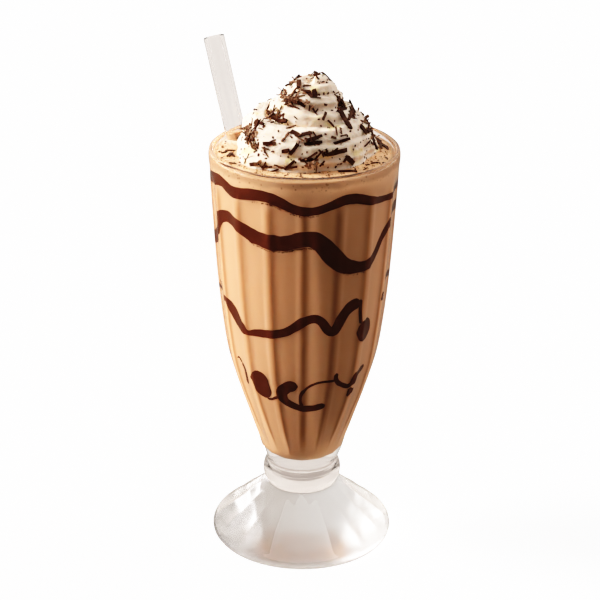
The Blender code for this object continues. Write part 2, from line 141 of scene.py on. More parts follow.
# The heights over which paler froth, a dark band and specks set in under the drink's top.
FROTH_BAND = (DRINK_LEVEL - 12.0, DRINK_LEVEL - 1.0)
DARK_BAND = (DRINK_LEVEL - 4.2, DRINK_LEVEL - 2.2)
SPECK_BAND = (DRINK_LEVEL - 5.2, DRINK_LEVEL - 3.6)
# How far from a ridge the drink is darkened with painted shade, on the sine of its wave, and the
# heights between which this fades in, and out again.
RIDGE_SHADE_WIDTH = 0.6
RIDGE_SHADE_FADES = ((44.0, 60.0), (166.0, 176.0))
# On the froth: the cream that melts round the straw, and a dark line of painted shade near the
# glass, with the radii between which they fade.
MELTED_COLOUR = (0.84, 0.72, 0.58)
MELTED_RADII = (7.0, 15.5)
SHORE_SHADE_RADII = (36.2, 37.6)
DUST_COLOUR = (0.09, 0.035, 0.018)

# How finely syrup is drawn: the step along a ribbon, and the points across it.
SYRUP_SPACING = 0.8
SYRUP_COLUMNS = 9
# Syrup ribbons on the glass's inside, as (angle, height, width).
SYRUP_RINGS = (
    ((-76, 174.2, 6.0), (-62, 176.2, 5.2), (-50, 173.8, 5.2), (-31, 175.4, 5.0),
     (-22, 175.2, 4.8), (-15, 173.6, 4.8), (-8, 171.4, 4.2), (0, 170.2, 3.9), (8, 170.3, 3.8),
     (16, 172.0, 4.1), (25, 174.0, 4.5), (34, 173.6, 4.5), (46, 170.9, 3.8), (60, 169.0, 3.0),
     (78, 168.4, 3.2), (100, 170.5, 4.2), (124, 174.5, 5.2), (150, 171.5, 4.2),
     (174, 173.5, 4.6), (200, 176.0, 5.2), (226, 171.5, 4.2), (252, 170.0, 4.4),
     (270, 172.0, 5.4)),
    ((-86, 145.0, 5.6), (-76, 150.0, 6.0), (-68, 158.0, 5.6), (-59, 160.6, 5.2),
     (-50, 160.0, 5.4), (-43, 158.4, 5.8), (-34, 156.2, 6.6), (-24, 155.4, 6.8),
     (-14, 155.0, 6.8), (-7, 156.2, 6.6), (0, 157.8, 6.8), (7, 157.0, 7.2), (13, 153.8, 8.0),
     (20, 148.2, 8.0), (27, 144.2, 7.0), (36, 142.0, 5.6), (45, 141.8, 4.8), (54, 145.2, 4.2),
     (62, 151.4, 3.4), (71, 156.6, 3.6), (84, 159.6, 4.6), (104, 158.6, 5.6),
     (126, 152.6, 6.4), (148, 150.2, 6.2), (170, 156.0, 5.4), (194, 158.4, 5.2),
     (218, 151.0, 6.2), (240, 143.6, 6.0), (258, 141.8, 5.4)),
)
SYRUP_RIBBONS = (
    ((70, 119.5, 1.8), (77, 127.0, 2.4), (92, 127.6, 3.2), (110, 121.6, 4.2),
     (132, 113.4, 4.6), (156, 111.6, 5.0), (180, 116.8, 4.6), (206, 112.4, 5.2),
     (228, 109.8, 4.2), (248, 115.4, 3.0), (270, 121.0, 2.0), (288, 120.4, 2.2),
     (294, 118.8, 4.6), (300, 116.4, 6.8), (307, 112.8, 6.8), (312, 110.2, 4.2),
     (316, 109.4, 2.4), (323, 110.3, 3.4), (337, 111.9, 4.0), (347, 113.4, 4.0),
     (355, 116.6, 4.0), (361, 119.6, 4.2), (368, 120.3, 4.0), (373, 118.6, 4.0),
     (377.5, 114.8, 4.2), (381, 113.0, 3.6), (385, 116.0, 4.8), (389, 120.6, 5.6),
     (395, 123.6, 5.6), (403, 124.8, 5.0)),
    ((51, 115.6, 3.6), (50.5, 112.5, 7.6), (50, 108.5, 8.6), (48.5, 104.6, 4.4)),
    ((-57, 91.6, 1.8), (-53.5, 88.5, 2.2), (-54, 84.5, 2.4), (-55.5, 81.0, 2.0)),
    ((-40.5, 91.0, 7.4), (-38.5, 87.0, 9.4), (-36.5, 81.5, 9.6), (-35.0, 77.2, 7.4)),
    ((-3.5, 86.6, 4.0), (-8, 86.4, 5.2), (-13, 85.4, 5.6), (-17.5, 83.2, 5.2),
     (-18.5, 80.4, 4.6), (-16.5, 78.0, 4.2), (-11.5, 76.2, 3.8), (-2, 74.6, 3.5),
     (9, 73.9, 3.4), (17, 74.6, 3.4), (21.5, 75.6, 2.8)),
    ((27, 92.0, 2.2), (27, 89.2, 2.2), (30, 86.6, 2.2), (36, 84.4, 2.2), (42, 83.0, 2.4),
     (46, 84.2, 2.8), (48, 87.6, 2.6), (53, 89.6, 3.0), (59, 90.0, 2.2)),
    ((46.3, 81.8, 2.6), (46, 79.2, 2.2), (45.6, 76.8, 1.6)),
    ((96, 88.0, 3.0), (104, 84.6, 4.6), (114, 83.2, 4.2), (122, 86.4, 3.6), (130, 90.6, 3.0)),
    ((146, 91.0, 5.0), (148, 86.0, 8.2), (150, 80.4, 8.0), (151, 76.4, 4.6)),
    ((172, 88.6, 3.2), (164, 85.6, 4.0), (163, 80.6, 4.0), (172, 76.6, 3.6),
     (186, 76.0, 3.6), (198, 79.8, 3.2)),
    ((214, 92.0, 3.2), (212, 86.0, 6.6), (214, 80.0, 5.6)),
    ((232, 80.2, 3.0), (242, 82.8, 3.6), (254, 88.0, 3.4), (266, 88.6, 2.8)),
)
# Thin threads of syrup, which have no solid of their own.
SYRUP_THREADS = (
    ((-64, 92.6, 0.7), (-61, 93.4, 1.0), (-57, 91.6, 1.6)),
    ((-34, 77.0, 1.3), (-28, 77.6, 1.1), (-22, 80.0, 1.3), (-18, 81.0, 1.6)),
    ((-0.5, 75.4, 1.4), (-1.6, 79.0, 1.2), (-0.6, 83.0, 1.2), (3.6, 86.0, 1.2),
     (11.6, 87.8, 1.2), (20, 88.4, 1.1), (27, 88.6, 1.4)),
    ((43.0, 126.0, 1.6), (43.6, 120.0, 1.4), (45.4, 114.0, 1.8)),
    ((-72, 119.6, 1.2), (-80, 122.6, 1.0), (-88, 124.4, 0.7)),
)

# Runs of tiny beads under the rings: the ring, its first and last angle, and their number.
BEAD_RUNS = ((SYRUP_RINGS[0], -34.0, 10.0, 60), (SYRUP_RINGS[1], -40.0, 8.0, 130),
             (SYRUP_RINGS[1], 20.0, 50.0, 30))
# How far under a ring's edge its beads hang, their radii, and their reach into the wall.
BEAD_DROPS = (0.35, 1.0)
BEAD_SIZES = (0.14, 0.32)
BEAD_REACH = 0.05
BEAD_SEED = 3
BUBBLE_SEED = 8

# The straw. Its foot, lean and turn place its axis.
STRAW_RADIUS = 4.45
STRAW_WALL = 1.35
STRAW_LENGTH = 183.0
STRAW_FOOT = (1.1, -5.9, 50.0)
STRAW_LEAN = 15.5
STRAW_TOWARDS = 145.1
# Its rounded ends, its plain length between them, and how its plastic bends light.
STRAW_LIP_ROUNDING = 0.6
STRAW_PLAIN_FROM = 4.0
STRAW_ROWS = 24
STRAW_BENDING = 1.3
# Where the straw crosses the froth, and how high the drink stands in its bore.
STRAW_CROSSING = (-29.1, 15.2)
STRAW_DRINK_LEVEL = DRINK_LEVEL + 3.0
STRAW_DRINK_REACH = 0.05

# The whipped cream: (radius, height) above its base.
CREAM_BASE = DRINK_LEVEL
CREAM_MIDDLE = (0.8, -0.4)
CREAM_OUTLINE = ((26.4, 0.0), (28.0, 3.0), (28.0, 8.0), (26.6, 12.0), (24.4, 15.0),
                 (21.4, 17.5), (18.0, 19.5), (15.3, 22.0), (12.9, 25.0), (10.2, 28.0),
                 (7.7, 30.5), (4.8, 32.7), (2.3, 34.0), (0.0, 34.8))
# How far the cream stays from the straw and the glass, and how low it reaches.
CREAM_CLEARANCE = 0.25
CREAM_WALL_GAP = 0.6
CREAM_LOWEST = -0.4
# What fills the mound behind the rope.
CORE_INSET = 3.6
CORE_DROP = 3.0
CREAM_UNDERSIDE = -0.6
CREAM_FOOT_OUTLINE = ((20.0, 1.6), (27.2, 1.2), (28.0, 0.4), (27.6, CREAM_UNDERSIDE))
CREAM_VOXEL = 0.45
CREAM_SOFTENING = 7
# How far along the outline each turn of the rope of cream touches it at the front.
ROPE_TURNS = (2.9, 9.8, 17.6, 26.6, 32.6, 38.5, 43.5)
ROPE_START = -0.3
ROPE_STEPS = 72
ROPE_SIDES = 40
ROPE_FIRST_SPACE = 6.9
ROPE_LEAST_SPACE = 5.0
# The rope is thickest at an angle to the right of the front, and near it.
ROPE_FLANK = 65.0
ROPE_FLANK_WIDTH = 45.0
# The top of the mound leans over to the right.
CREAM_LEAN = 2.4
CREAM_LEAN_HEIGHTS = (17.0, 30.0)
# How much further the foot of the mound spreads, as (angle, extra radius).
CREAM_SPREAD = ((-180, 0.5), (-160, 1.5), (-132, 7.0), (-112, 3.0), (-99, 1.4), (-74, 2.2),
                (-56, 4.4), (-42, 4.4), (-33, 2.4), (-22, 1.2), (0, 0.0), (12, -0.3), (30, -0.2),
                (46, 0.9), (66, -0.6), (84, 1.0), (93, 3.4), (106, 2.6), (140, 0.6), (180, 0.5))
# It spreads fully below the lower height and beyond the larger radius, with small folds.
CREAM_SPREAD_HEIGHTS = (1.5, 9.0)
CREAM_SPREAD_RADII = (14.0, 27.0)
FOLDS = 13
FOLD_DEPTH = 0.4
# Where a level look at the cream starts, from its middle.
RAY_START = 40.0

# Larger shavings on the cream, as (angle, height over its base, spin, length, width).
SHAVINGS = (
    (50, 17.0, 68, 9.7, 2.6), (-11, 9.8, 55, 5.7, 1.6), (39, 3.8, -40, 6.5, 2.2),
    (-34, 10.8, 10, 5.6, 1.6), (26, 8.2, 4, 9.4, 1.8), (6, 12.3, 5, 7.4, 1.5),
    (7, 14.2, 12, 7.0, 1.2), (34, 11.8, 8, 7.6, 1.2), (-43, 2.0, 16, 5.0, 1.6),
    (-14, 3.4, 46, 6.0, 1.2), (-11, 15.4, -21, 4.8, 1.9), (0, 15.8, 16, 4.4, 1.4),
    (25, 20.4, 60, 4.0, 1.2), (81, 4.8, -70, 5.6, 1.6), (65, 13.4, -80, 4.6, 2.2),
    (76, 17.6, 25, 7.4, 1.6), (80, 10.6, -30, 8.6, 1.7), (72, 24.0, -60, 4.2, 1.5),
    (19, 28.0, -80, 3.8, 2.0), (-35, 31.0, -60, 4.0, 2.0), (-24, 32.6, -35, 4.8, 1.3),
    (-57, 16.4, 10, 6.4, 1.4), (-48, 17.2, -12, 5.4, 1.9), (-35, 17.8, 18, 5.0, 2.0),
    (-18, 9.0, 20, 3.4, 1.8), (0, 5.8, 6, 5.4, 1.4), (72, 20.0, -20, 4.4, 1.6),
    (-29, 25.0, 0, 6.0, 1.6), (-10, 24.4, -30, 3.6, 1.6), (6, 27.4, -50, 4.4, 1.4),
    (-62, 9.4, 6, 5.4, 1.5), (-54, 11.6, -60, 4.4, 1.4),
)
# Those on the far side, which the photo doesn't show: their number, seed and ranges.
HIDDEN_SHAVINGS = 26
HIDDEN_SEED = 11
HIDDEN_ANGLES = (98.0, 262.0)
HIDDEN_HEIGHTS = (3.0, 31.0)
HIDDEN_LENGTHS = (3.6, 8.4)
HIDDEN_WIDTHS = (1.2, 2.2)
SHAVING_THICKNESS = 0.8
STICK_ROWS = 6
# A stick rests on the cream under these shares of its length, as looked at from above it and
# over a reach, and leans no steeper than a slope.
REST_SHARES = (-0.42, -0.21, 0.0, 0.21, 0.42)
REST_ABOVE = 6.0
REST_REACH = 14.0
STEEPEST = 0.5
# Shavings on the drink, as (angle, radius, spin, length, width).
DRINK_SHAVINGS = (
    (34, 31.6, 4, 7.6, 1.6), (102, 34.2, -60, 6.4, 1.5), (-78, 32.0, 70, 4.6, 1.5),
    (122, 32.6, 30, 5.8, 1.6), (176, 32.8, 80, 6.2, 1.5), (-124, 33.0, -35, 5.2, 1.5),
)
# Thin slivers on the froth, as (angle, radius, spin, length, width).
FROTH_SLIVERS = (
    (108, 34.2, -72, 9.5, 0.8), (117, 35.0, -62, 7.5, 0.7), (101, 33.0, -84, 7.0, 1.0),
    (124, 34.6, -50, 6.5, 0.8), (96, 35.0, -70, 4.5, 0.6), (112, 32.0, -30, 4.0, 0.9),
    (-88, 31.5, 4, 4.2, 0.9), (-78, 31.0, -66, 5.2, 0.8), (-84, 34.0, 40, 3.2, 0.7),
    (62, 33.0, 20, 3.4, 0.5), (48, 34.0, 55, 3.0, 0.5), (-60, 34.4, -20, 3.2, 0.6),
)
# Where small shavings lie thickest: angle, its spread, height, its spread, their number, and the
# share of them that are curls.
CLUSTERS = (
    (-30, 22, 25.6, 1.8, 36, 0.65), (-60, 12, 17.4, 1.5, 38, 0.3), (-66, 10, 11.4, 1.4, 24, 0.6),
    (-46, 10, 7.6, 1.0, 16, 0.2), (-55, 30, 32.0, 1.0, 18, 0.1), (74, 7, 24.0, 1.6, 10, 0.0),
    (82, 6, 19.0, 1.6, 14, 0.1), (88, 7, 13.4, 2.4, 26, 0.2), (84, 7, 8.0, 1.6, 10, 0.2),
    (-2, 9, 14.0, 1.2, 16, 0.1), (1, 6, 4.6, 0.9, 9, 0.7), (12, 12, 8.0, 1.2, 8, 0.0),
    (-30, 8, 2.0, 0.6, 8, 0.3), (150, 30, 16.0, 5.0, 40, 0.3), (-140, 24, 9.0, 4.0, 26, 0.3),
    (10, 4, 22.0, 1.0, 5, 0.5),
)
LOOSE_SHAVINGS = 70
CREAM_SPRINKLED_TOP = 34.0
# The sizes of the slivers and curls, and how far they stay from the straw.
SLIVER_WIDTHS = (0.35, 1.0)
SLIVER_THICKNESSES = (0.25, 0.5)
SLIVER_CLEARANCE = 2.5
CURL_RADII = (0.8, 1.9)
CURL_WIDTHS = (0.7, 1.6)
CURL_SWEEPS = (1.6, 4.2)
CURL_THICKNESS = 0.22
CURL_ROWS = 12
# The crumbs, the radius from which they lie on the froth, and how far they stay from the straw.
CRUMBS = 460
CRUMB_SIZES = (0.25, 0.75)
CRUMBS_FROM = 27.5
CRUMB_CLEARANCE = 1.0

# The camera, in millimetres and radians, as fitted to the photo.
CAMERA_PLACE = (-1.44, -704.3, 426.3)
CAMERA_PITCH = 0.4177
CAMERA_ROLL = 0.0076
CAMERA_LENS = 105.17
CAMERA_SENSOR = 36.0

# The picture's tone curve: each pair is a brightness and what it is shown as, both linear.
TONES = ((0.037, 0.010), (0.09, 0.05), (0.225, 0.2), (0.45, 0.45), (0.87, 0.75), (1.37, 0.93))
TONE_WHITE = 2.0

# The lights: the setting with the strength, the angle round the front, the height and the
# spread in degrees, the colour, and whether glossy surfaces mirror it.
LIGHTS = (("key", -95.0, 25.0, 24.0, (1.0, 0.98, 0.96), False),
          ("fill", 114.0, 22.0, 40.0, (0.97, 0.97, 1.0), False),
          ("top", 0.0, 80.0, 60.0, (1.0, 0.97, 0.94), True))
# The room that glass and gloss mirror, on either side and at the front, how its colours pass
# over from left to right and from front to back, and the light on dull surfaces.
ROOM_LEFT = (0.95, 0.93, 0.9)
ROOM_RIGHT = (0.62, 0.55, 0.49)
ROOM_FRONT = (0.10, 0.07, 0.05)
ROOM_SIDES = (-0.7, 0.7)
ROOM_BACK = (-0.6, 0.2)
SURROUND_COLOUR = (1.0, 0.94, 0.88)
# The floor, as seen, as seen through glass, and as it lights the rest.
FLOOR_SIZE = 4000.0
FLOOR_LEVEL = -0.05
FLOOR_CLOUDS = (0.9, 0.9, 0.9)
FLOOR_THROUGH_GLASS = (0.56, 0.52, 0.49)
FLOOR_THROWN = (0.15, 0.13, 0.11)
FLOOR_GLOW = 1.9
FLOOR_GLOW_SHARE = 0.65


def smooth_step(low, high, value):
    """Return 0 below low, 1 above high and a soft slope between, for arrays too."""
    share = np.clip((value - low) / (high - low), 0.0, 1.0)
    return share * share * (3.0 - 2.0 * share)


def spline(points, spacing):
    """Return points about one spacing apart on a smooth curve through the given ones."""
    points = np.array(points, dtype=float)
    spans = np.linalg.norm(np.diff(points[:, :2], axis=0), axis=1)
    knots = np.concatenate(([0.0], np.cumsum(spans)))
    slopes = np.empty_like(points)
    slopes[1:-1] = (points[2:] - points[:-2]) / (knots[2:] - knots[:-2])[:, None]
    slopes[0] = (points[1] - points[0]) / spans[0]
    slopes[-1] = (points[-1] - points[-2]) / spans[-1]
    count = max(int(round(knots[-1] / spacing)), 2)
    places = np.linspace(0.0, knots[-1], count + 1)
    span = np.clip(np.searchsorted(knots, places, side="right") - 1, 0, len(spans) - 1)
    width = spans[span][:, None]
    t = ((places - knots[span]) / spans[span])[:, None]
    return ((2 * t**3 - 3 * t**2 + 1) * points[span] + (t**3 - 2 * t**2 + t) * width * slopes[span]
            + (3 * t**2 - 2 * t**3) * points[span + 1]
            + (t**3 - t**2) * width * slopes[span + 1])


def radius_lookup(outline):
    """Return a function from heights to an outline's radius."""
    line = spline(outline, 0.5)
    order = np.argsort(line[:, 1])
    return lambda height: np.interp(height, line[order, 1], line[order, 0])


inner_radius = radius_lookup(INSIDE_OUTLINE[2:-2])
cream_outline_radius = radius_lookup(CREAM_OUTLINE)
FROTH_EDGE = float(inner_radius(FROTH_EDGE_LEVEL)) + DRINK_REACH


def flute_scoop(angle):
    """Return 0 on a ridge and 1 in the middle of a flute, with a slightly rounded ridge."""
    wave = np.sin((angle - FRONT) * FLUTES / 2.0)
    rounded = np.sqrt(wave * wave + RIDGE_ROUNDING * RIDGE_ROUNDING) - RIDGE_ROUNDING
    return rounded / (math.sqrt(1.0 + RIDGE_ROUNDING * RIDGE_ROUNDING) - RIDGE_ROUNDING)


def flute_fade(height, fades):
    """Return how far a set of flutes is faded in at a height."""
    rise, fall = fades
    return smooth_step(*rise, height) * (1.0 - smooth_step(*fall, height))


def inner_wall(angle, height, panels, radius=None):
    """Return the radius of the glass's inside.

    It has a soft panel behind each flute and swells a little behind each ridge.
    """
    if radius is None:
        radius = inner_radius(height)
    across = np.mod(angle - FRONT, FLUTE_ANGLE) - FLUTE_ANGLE / 2.0
    flat = math.cos(FLUTE_ANGLE / 2.0) / np.cos(across)
    fade = flute_fade(height, BOWL_FLUTE_FADES)
    from_ridge = FLUTE_ANGLE / 2.0 - np.abs(across)
    swell = 1.0 - smooth_step(0.0, SWELL_WIDTH * FLUTE_ANGLE, from_ridge)
    return radius * (1.0 - fade * (panels * (1.0 - flat) - SWELL_DEPTH * swell))


def froth_level(radius):
    """Return the height of the froth, which sinks a little towards the glass."""
    return DRINK_LEVEL - FROTH_EDGE_DROP * smooth_step(FROTH_EDGE - FROTH_EDGE_WIDTH,
                                                       FROTH_EDGE, radius)


def lumpiness(place, layers):
    """Return the sum at a place of noises, each with a scale and a height."""
    return sum(noise.noise(place * scale) * height for scale, height in layers)


def from_front(angle):
    """Turn degrees from the front into radians from +X."""
    return FRONT + np.radians(angle)


def outward(turn, rise=0.0):
    """Return the vector out from the middle at a turn in radians, with a rise if asked."""
    return Vector((math.cos(turn), math.sin(turn), rise))


def polar(turn, radius, height):
    """Return the point in metres at a turn in radians, and a radius and height in millimetres."""
    return Vector((math.cos(turn) * radius, math.sin(turn) * radius, height)) * MM


def ring(radius, height, angles):
    """Return one ring of points in millimetres; radius and height may vary round it."""
    heights = np.broadcast_to(height, angles.shape)
    return np.stack((radius * np.cos(angles), radius * np.sin(angles), heights), axis=1)


def new_object(name, vertices, faces, materials):
    """Link a smooth mesh made from points in millimetres."""
    mesh = bpy.data.meshes.new(name)
    mesh.from_pydata((np.asarray(vertices) * MM).tolist(), [], faces)
    mesh.shade_smooth()
    for material in materials:
        mesh.materials.append(material)
    obj = bpy.data.objects.new(name, mesh)
    bpy.context.scene.collection.objects.link(obj)
    return obj


def quad_faces(rows, columns, closed):
    """Return the faces of a grid of points, closed round its rows if asked."""
    row, column = np.meshgrid(np.arange(rows - 1), np.arange(columns - (not closed)),
                              indexing="ij")
    here = row * columns + column
    there = row * columns + (column + 1) % columns
    return np.stack((here, here + columns, there + columns, there), axis=-1).reshape(-1, 4)


def lofted(name, rings, materials, poles=True):
    """Make a body from rings, listed down its outside, with a point at either end."""
    rows, columns = len(rings), len(rings[0])
    vertices = np.concatenate(rings)
    faces = quad_faces(rows, columns, True).tolist()
    if poles:
        first = vertices[:columns].mean(axis=0)
        last = vertices[-columns:].mean(axis=0)
        top, bottom = len(vertices), len(vertices) + 1
        vertices = np.concatenate((vertices, [first, last]))
        start = (rows - 1) * columns
        for column in range(columns):
            after = (column + 1) % columns
            faces.append((top, column, after))
            faces.append((bottom, start + after, start + column))
    return new_object(name, vertices, faces, materials)


def apply_modifiers(obj):
    """Bake an object's modifiers into its mesh."""
    depsgraph = bpy.context.evaluated_depsgraph_get()
    baked = bpy.data.meshes.new_from_object(obj.evaluated_get(depsgraph))
    old = obj.data
    obj.modifiers.clear()
    obj.data = baked
    bpy.data.meshes.remove(old)


def keep(obj, node=None):
    """Ride a finished piece on the body, and hide the node that it stands for."""
    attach(obj, BODY)
    if node:
        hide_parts(node)


class Sum:
    """A socket in a material that takes part in Python sums."""

    def __init__(self, nodes, socket):
        self.nodes = nodes
        self.socket = socket

    def __add__(self, other):
        return self.nodes.calculate("ADD", self, other)

    __radd__ = __add__

    def __sub__(self, other):
        return self.nodes.calculate("SUBTRACT", self, other)

    def __rsub__(self, other):
        return self.nodes.calculate("SUBTRACT", other, self)

    def __mul__(self, other):
        return self.nodes.calculate("MULTIPLY", self, other)

    __rmul__ = __mul__

    def between(self, low, high):
        """Return a soft step from 0 at low to 1 at high."""
        node = self.nodes.add("ShaderNodeMapRange", {"interpolation_type": "SMOOTHSTEP"},
                              {"Value": self, "From Min": low, "From Max": high})
        return Sum(self.nodes, node.outputs["Result"])

    def between_mm(self, low, high):
        """Return a soft step between two lengths in millimetres."""
        return self.between(low * MM, high * MM)


class Nodes:
    """The node tree of a material or of the world."""

    def __init__(self, tree):
        self.tree = tree

    def set(self, socket, value):
        """Put a number, a colour, a sum or another socket into a socket."""
        if isinstance(value, Sum):
            value = value.socket
        if isinstance(value, bpy.types.NodeSocket):
            self.tree.links.new(value, socket)
        elif hasattr(value, "__len__") and len(socket.default_value) == len(value) + 1:
            socket.default_value = (*value, 1.0)
        else:
            socket.default_value = value

    def add(self, kind, settings=None, inputs=None):
        """Add a node of a kind, with its settings first and then its inputs."""
        node = self.tree.nodes.new(kind)
        for name, value in (settings or {}).items():
            setattr(node, name, value)
        for socket, value in (inputs or {}).items():
            self.set(node.inputs[socket], value)
        return node

    def calculate(self, operation, first, second=0.0):
        """Add a Math node and return its result."""
        node = self.add("ShaderNodeMath", {"operation": operation}, {0: first, 1: second})
        return Sum(self, node.outputs[0])

    def split(self, vector):
        """Return a vector's three parts."""
        node = self.add("ShaderNodeSeparateXYZ", inputs={"Vector": vector})
        return [Sum(self, node.outputs[axis]) for axis in "XYZ"]

    def mix(self, share, first, second):
        """Return a colour mixed between two by a share."""
        node = self.add("ShaderNodeMix", {"data_type": "RGBA"}, {0: share, 6: first, 7: second})
        return node.outputs[2]

    def mix_shaders(self, share, first, second):
        """Return a shader mixed between two by a share."""
        node = self.add("ShaderNodeMixShader", inputs={0: share, 1: first, 2: second})
        return node.outputs[0]


class Finish(Nodes):
    """A material under construction, with a Principled shader."""

    def __init__(self, name, **values):
        self.material = bpy.data.materials.new(name)
        self.material.use_nodes = True
        super().__init__(self.material.node_tree)
        self.shader = self.tree.nodes["Principled BSDF"]
        self.output = self.tree.nodes["Material Output"]
        for socket, value in values.items():
            self.set(self.shader.inputs[socket.replace("_", " ")], value)

    def place(self):
        """Return the object's own coordinates, which are metres in the frame."""
        return self.add("ShaderNodeTexCoord").outputs["Object"]

    def height(self):
        """Return the height in metres."""
        return self.split(self.place())[2]

    def distance(self, place=(0.0, 0.0)):
        """Return the distance in metres from an upright line through a place in millimetres."""
        across, away, _ = self.split(self.place())
        across, away = across - place[0] * MM, away - place[1] * MM
        return self.calculate("SQRT", across * across + away * away)

    def cloud(self, scale, detail=3.0, roughness=0.5):
        """Return a soft noise from 0 to 1 with its scale in lumps a metre."""
        node = self.add("ShaderNodeTexNoise", inputs={
            "Vector": self.place(), "Scale": scale, "Detail": detail, "Roughness": roughness})
        return Sum(self, node.outputs["Fac"])

    def cells(self, scale):
        """Return the distance to the nearest of scattered points, so many of them a metre."""
        node = self.add("ShaderNodeTexVoronoi", inputs={"Vector": self.place(), "Scale": scale})
        return Sum(self, node.outputs["Distance"])

    def chance(self):
        """Return a random number from 0 to 1 for each separate piece of the mesh."""
        return Sum(self, self.add("ShaderNodeNewGeometry").outputs["Random Per Island"])

    def colour(self, value):
        """Feed the base colour."""
        self.set(self.shader.inputs["Base Color"], value)

    def bump(self, height, distance):
        """Feed the normal from a height of a depth in millimetres."""
        node = self.add("ShaderNodeBump", inputs={"Height": height, "Distance": distance * MM})
        self.set(self.shader.inputs["Normal"], node.outputs["Normal"])

    def clear_to_light(self):
        """Let light that makes shadows pass, as it does through clear glass."""
        path = self.add("ShaderNodeLightPath")
        clear = self.add("ShaderNodeBsdfTransparent", inputs={"Color": GLASS_SHADOW})
        mixed = self.mix_shaders(path.outputs["Is Shadow Ray"], self.shader.outputs[0],
                                 clear.outputs[0])
        self.set(self.output.inputs["Surface"], mixed)


def shade(colour, *shares):
    """Return a colour multiplied by one number, or by one for each of its parts."""
    if len(shares) == 1:
        shares *= len(colour)
    return tuple(min(value * share, PALEST) for value, share in zip(colour, shares))


def glass_finish(name, tint, roughness, bending=GLASS_BENDING):
    """Clear glass, or clear plastic that bends light less."""
    finish = Finish(name, Base_Color=tint, Roughness=roughness, IOR=bending,
                    Transmission_Weight=1.0)
    finish.clear_to_light()
    return finish.material


def thick_glass_finish(foot, collar):
    """The thick glass of the foot and the collar, with painted shade: greyer in the collar and at
    the foot's edge.
    """
    finish = Finish("thick_glass", Roughness=0.0, IOR=GLASS_BENDING, Transmission_Weight=1.0)
    height = finish.height()
    # Painted shade: the foot's edge and the collar are tinted darker than the rest of the thick
    # glass.
    edge = shade(collar, FOOT_EDGE_SHADE)
    low = finish.mix(height.between_mm(*FOOT_EDGE_SHADE_HEIGHTS), edge, foot)
    finish.colour(finish.mix(height.between_mm(*COLLAR_SHADE_HEIGHTS), low, collar))
    finish.clear_to_light()
    return finish.material


def drink_finish(body, froth):
    """Milky coffee, paler under its top and darker in a band there, with painted shade behind each
    ridge.
    """
    finish = Finish("milky_coffee", Roughness=0.5, Specular_IOR_Level=0.1,
                    Subsurface_Weight=0.25, Subsurface_Radius=(1.0, 0.55, 0.3),
                    Subsurface_Scale=0.002)
    level = finish.height()
    uneven = level + (finish.cloud(90.0) - 0.5) * 0.004
    base = finish.mix(finish.cloud(45.0, 4.0, 0.6) * 0.22 - 0.06, body, froth)
    foamy = finish.mix(uneven.between_mm(*FROTH_BAND) * 0.3, base, froth)
    banded = finish.mix(uneven.between_mm(*DARK_BAND) * 0.6, foamy, shade(body, 0.5))
    specks = 1.0 - finish.cells(650.0).between(0.12, 0.4)
    specks = specks * finish.cloud(260.0).between(0.4, 0.56) * uneven.between_mm(*SPECK_BAND)
    speckled = finish.mix(specks * 0.9, banded, shade(body, 0.4))
    # Painted shade: the drink is darker behind each ridge of the glass.
    across, away, _ = finish.split(finish.place())
    turn = finish.calculate("ARCTAN2", across, away * -1.0)
    wave = finish.calculate("SINE", turn * (FLUTES / 2.0))
    ridge = 1.0 - finish.calculate("ABSOLUTE", wave).between(0.0, RIDGE_SHADE_WIDTH)
    rise, fall = RIDGE_SHADE_FADES
    fluted = level.between_mm(*rise) * (1.0 - level.between_mm(*fall))
    finish.colour(finish.mix(ridge * fluted, speckled, shade(body, 0.6, 0.52, 0.45)))
    return finish.material


def froth_finish(froth):
    """The froth's top: fine bubbles with painted shade in their pits, brown dust, melted cream, and
    a dark line of painted shade at the glass.
    """
    finish = Finish("coffee_froth", Roughness=0.45, Subsurface_Weight=0.3,
                    Subsurface_Radius=(1.0, 0.6, 0.35), Subsurface_Scale=0.0015)
    fine, coarse = finish.cells(1500.0), finish.cells(620.0)
    tan = shade(froth, 0.82, 0.68, 0.55)
    base = finish.mix(finish.cloud(110.0, 4.0, 0.6).between(0.4, 0.62), froth, shade(froth, 1.25))
    grain = finish.cloud(900.0, 3.0, 0.7).between(0.5, 0.72) * 0.75
    grained = finish.mix(grain * finish.cloud(70.0, 2.0).between(0.3, 0.6), base, tan)
    # Painted shade: the froth is darker in the pits, where its bump dips.
    pitted = finish.mix((1.0 - fine.between(0.1, 0.5)) * 0.3, grained, tan)
    dusty = finish.mix(finish.cells(330.0).between(0.10, 0.18), DUST_COLOUR, pitted)
    apart = finish.distance(STRAW_CROSSING) + finish.cloud(260.0) * 0.008
    melted = 1.0 - apart.between_mm(*MELTED_RADII)
    creamy = finish.mix(melted * 0.85, dusty, MELTED_COLOUR)
    # Painted shade: a dark line where the froth meets the glass.
    shore_shade = finish.distance().between_mm(*SHORE_SHADE_RADII) * 0.75
    finish.colour(finish.mix(shore_shade, creamy, shade(tan, 0.45)))
    finish.bump(fine * 0.6 + coarse * 0.4, 0.08)
    return finish.material


def syrup_finish(colour):
    """Dark syrup, a little darker in clouds."""
    finish = Finish("chocolate_syrup", Roughness=0.4, Specular_IOR_Level=0.1)
    finish.colour(finish.mix(finish.cloud(160.0, 2.0), colour, shade(colour, 0.7)))
    return finish.material


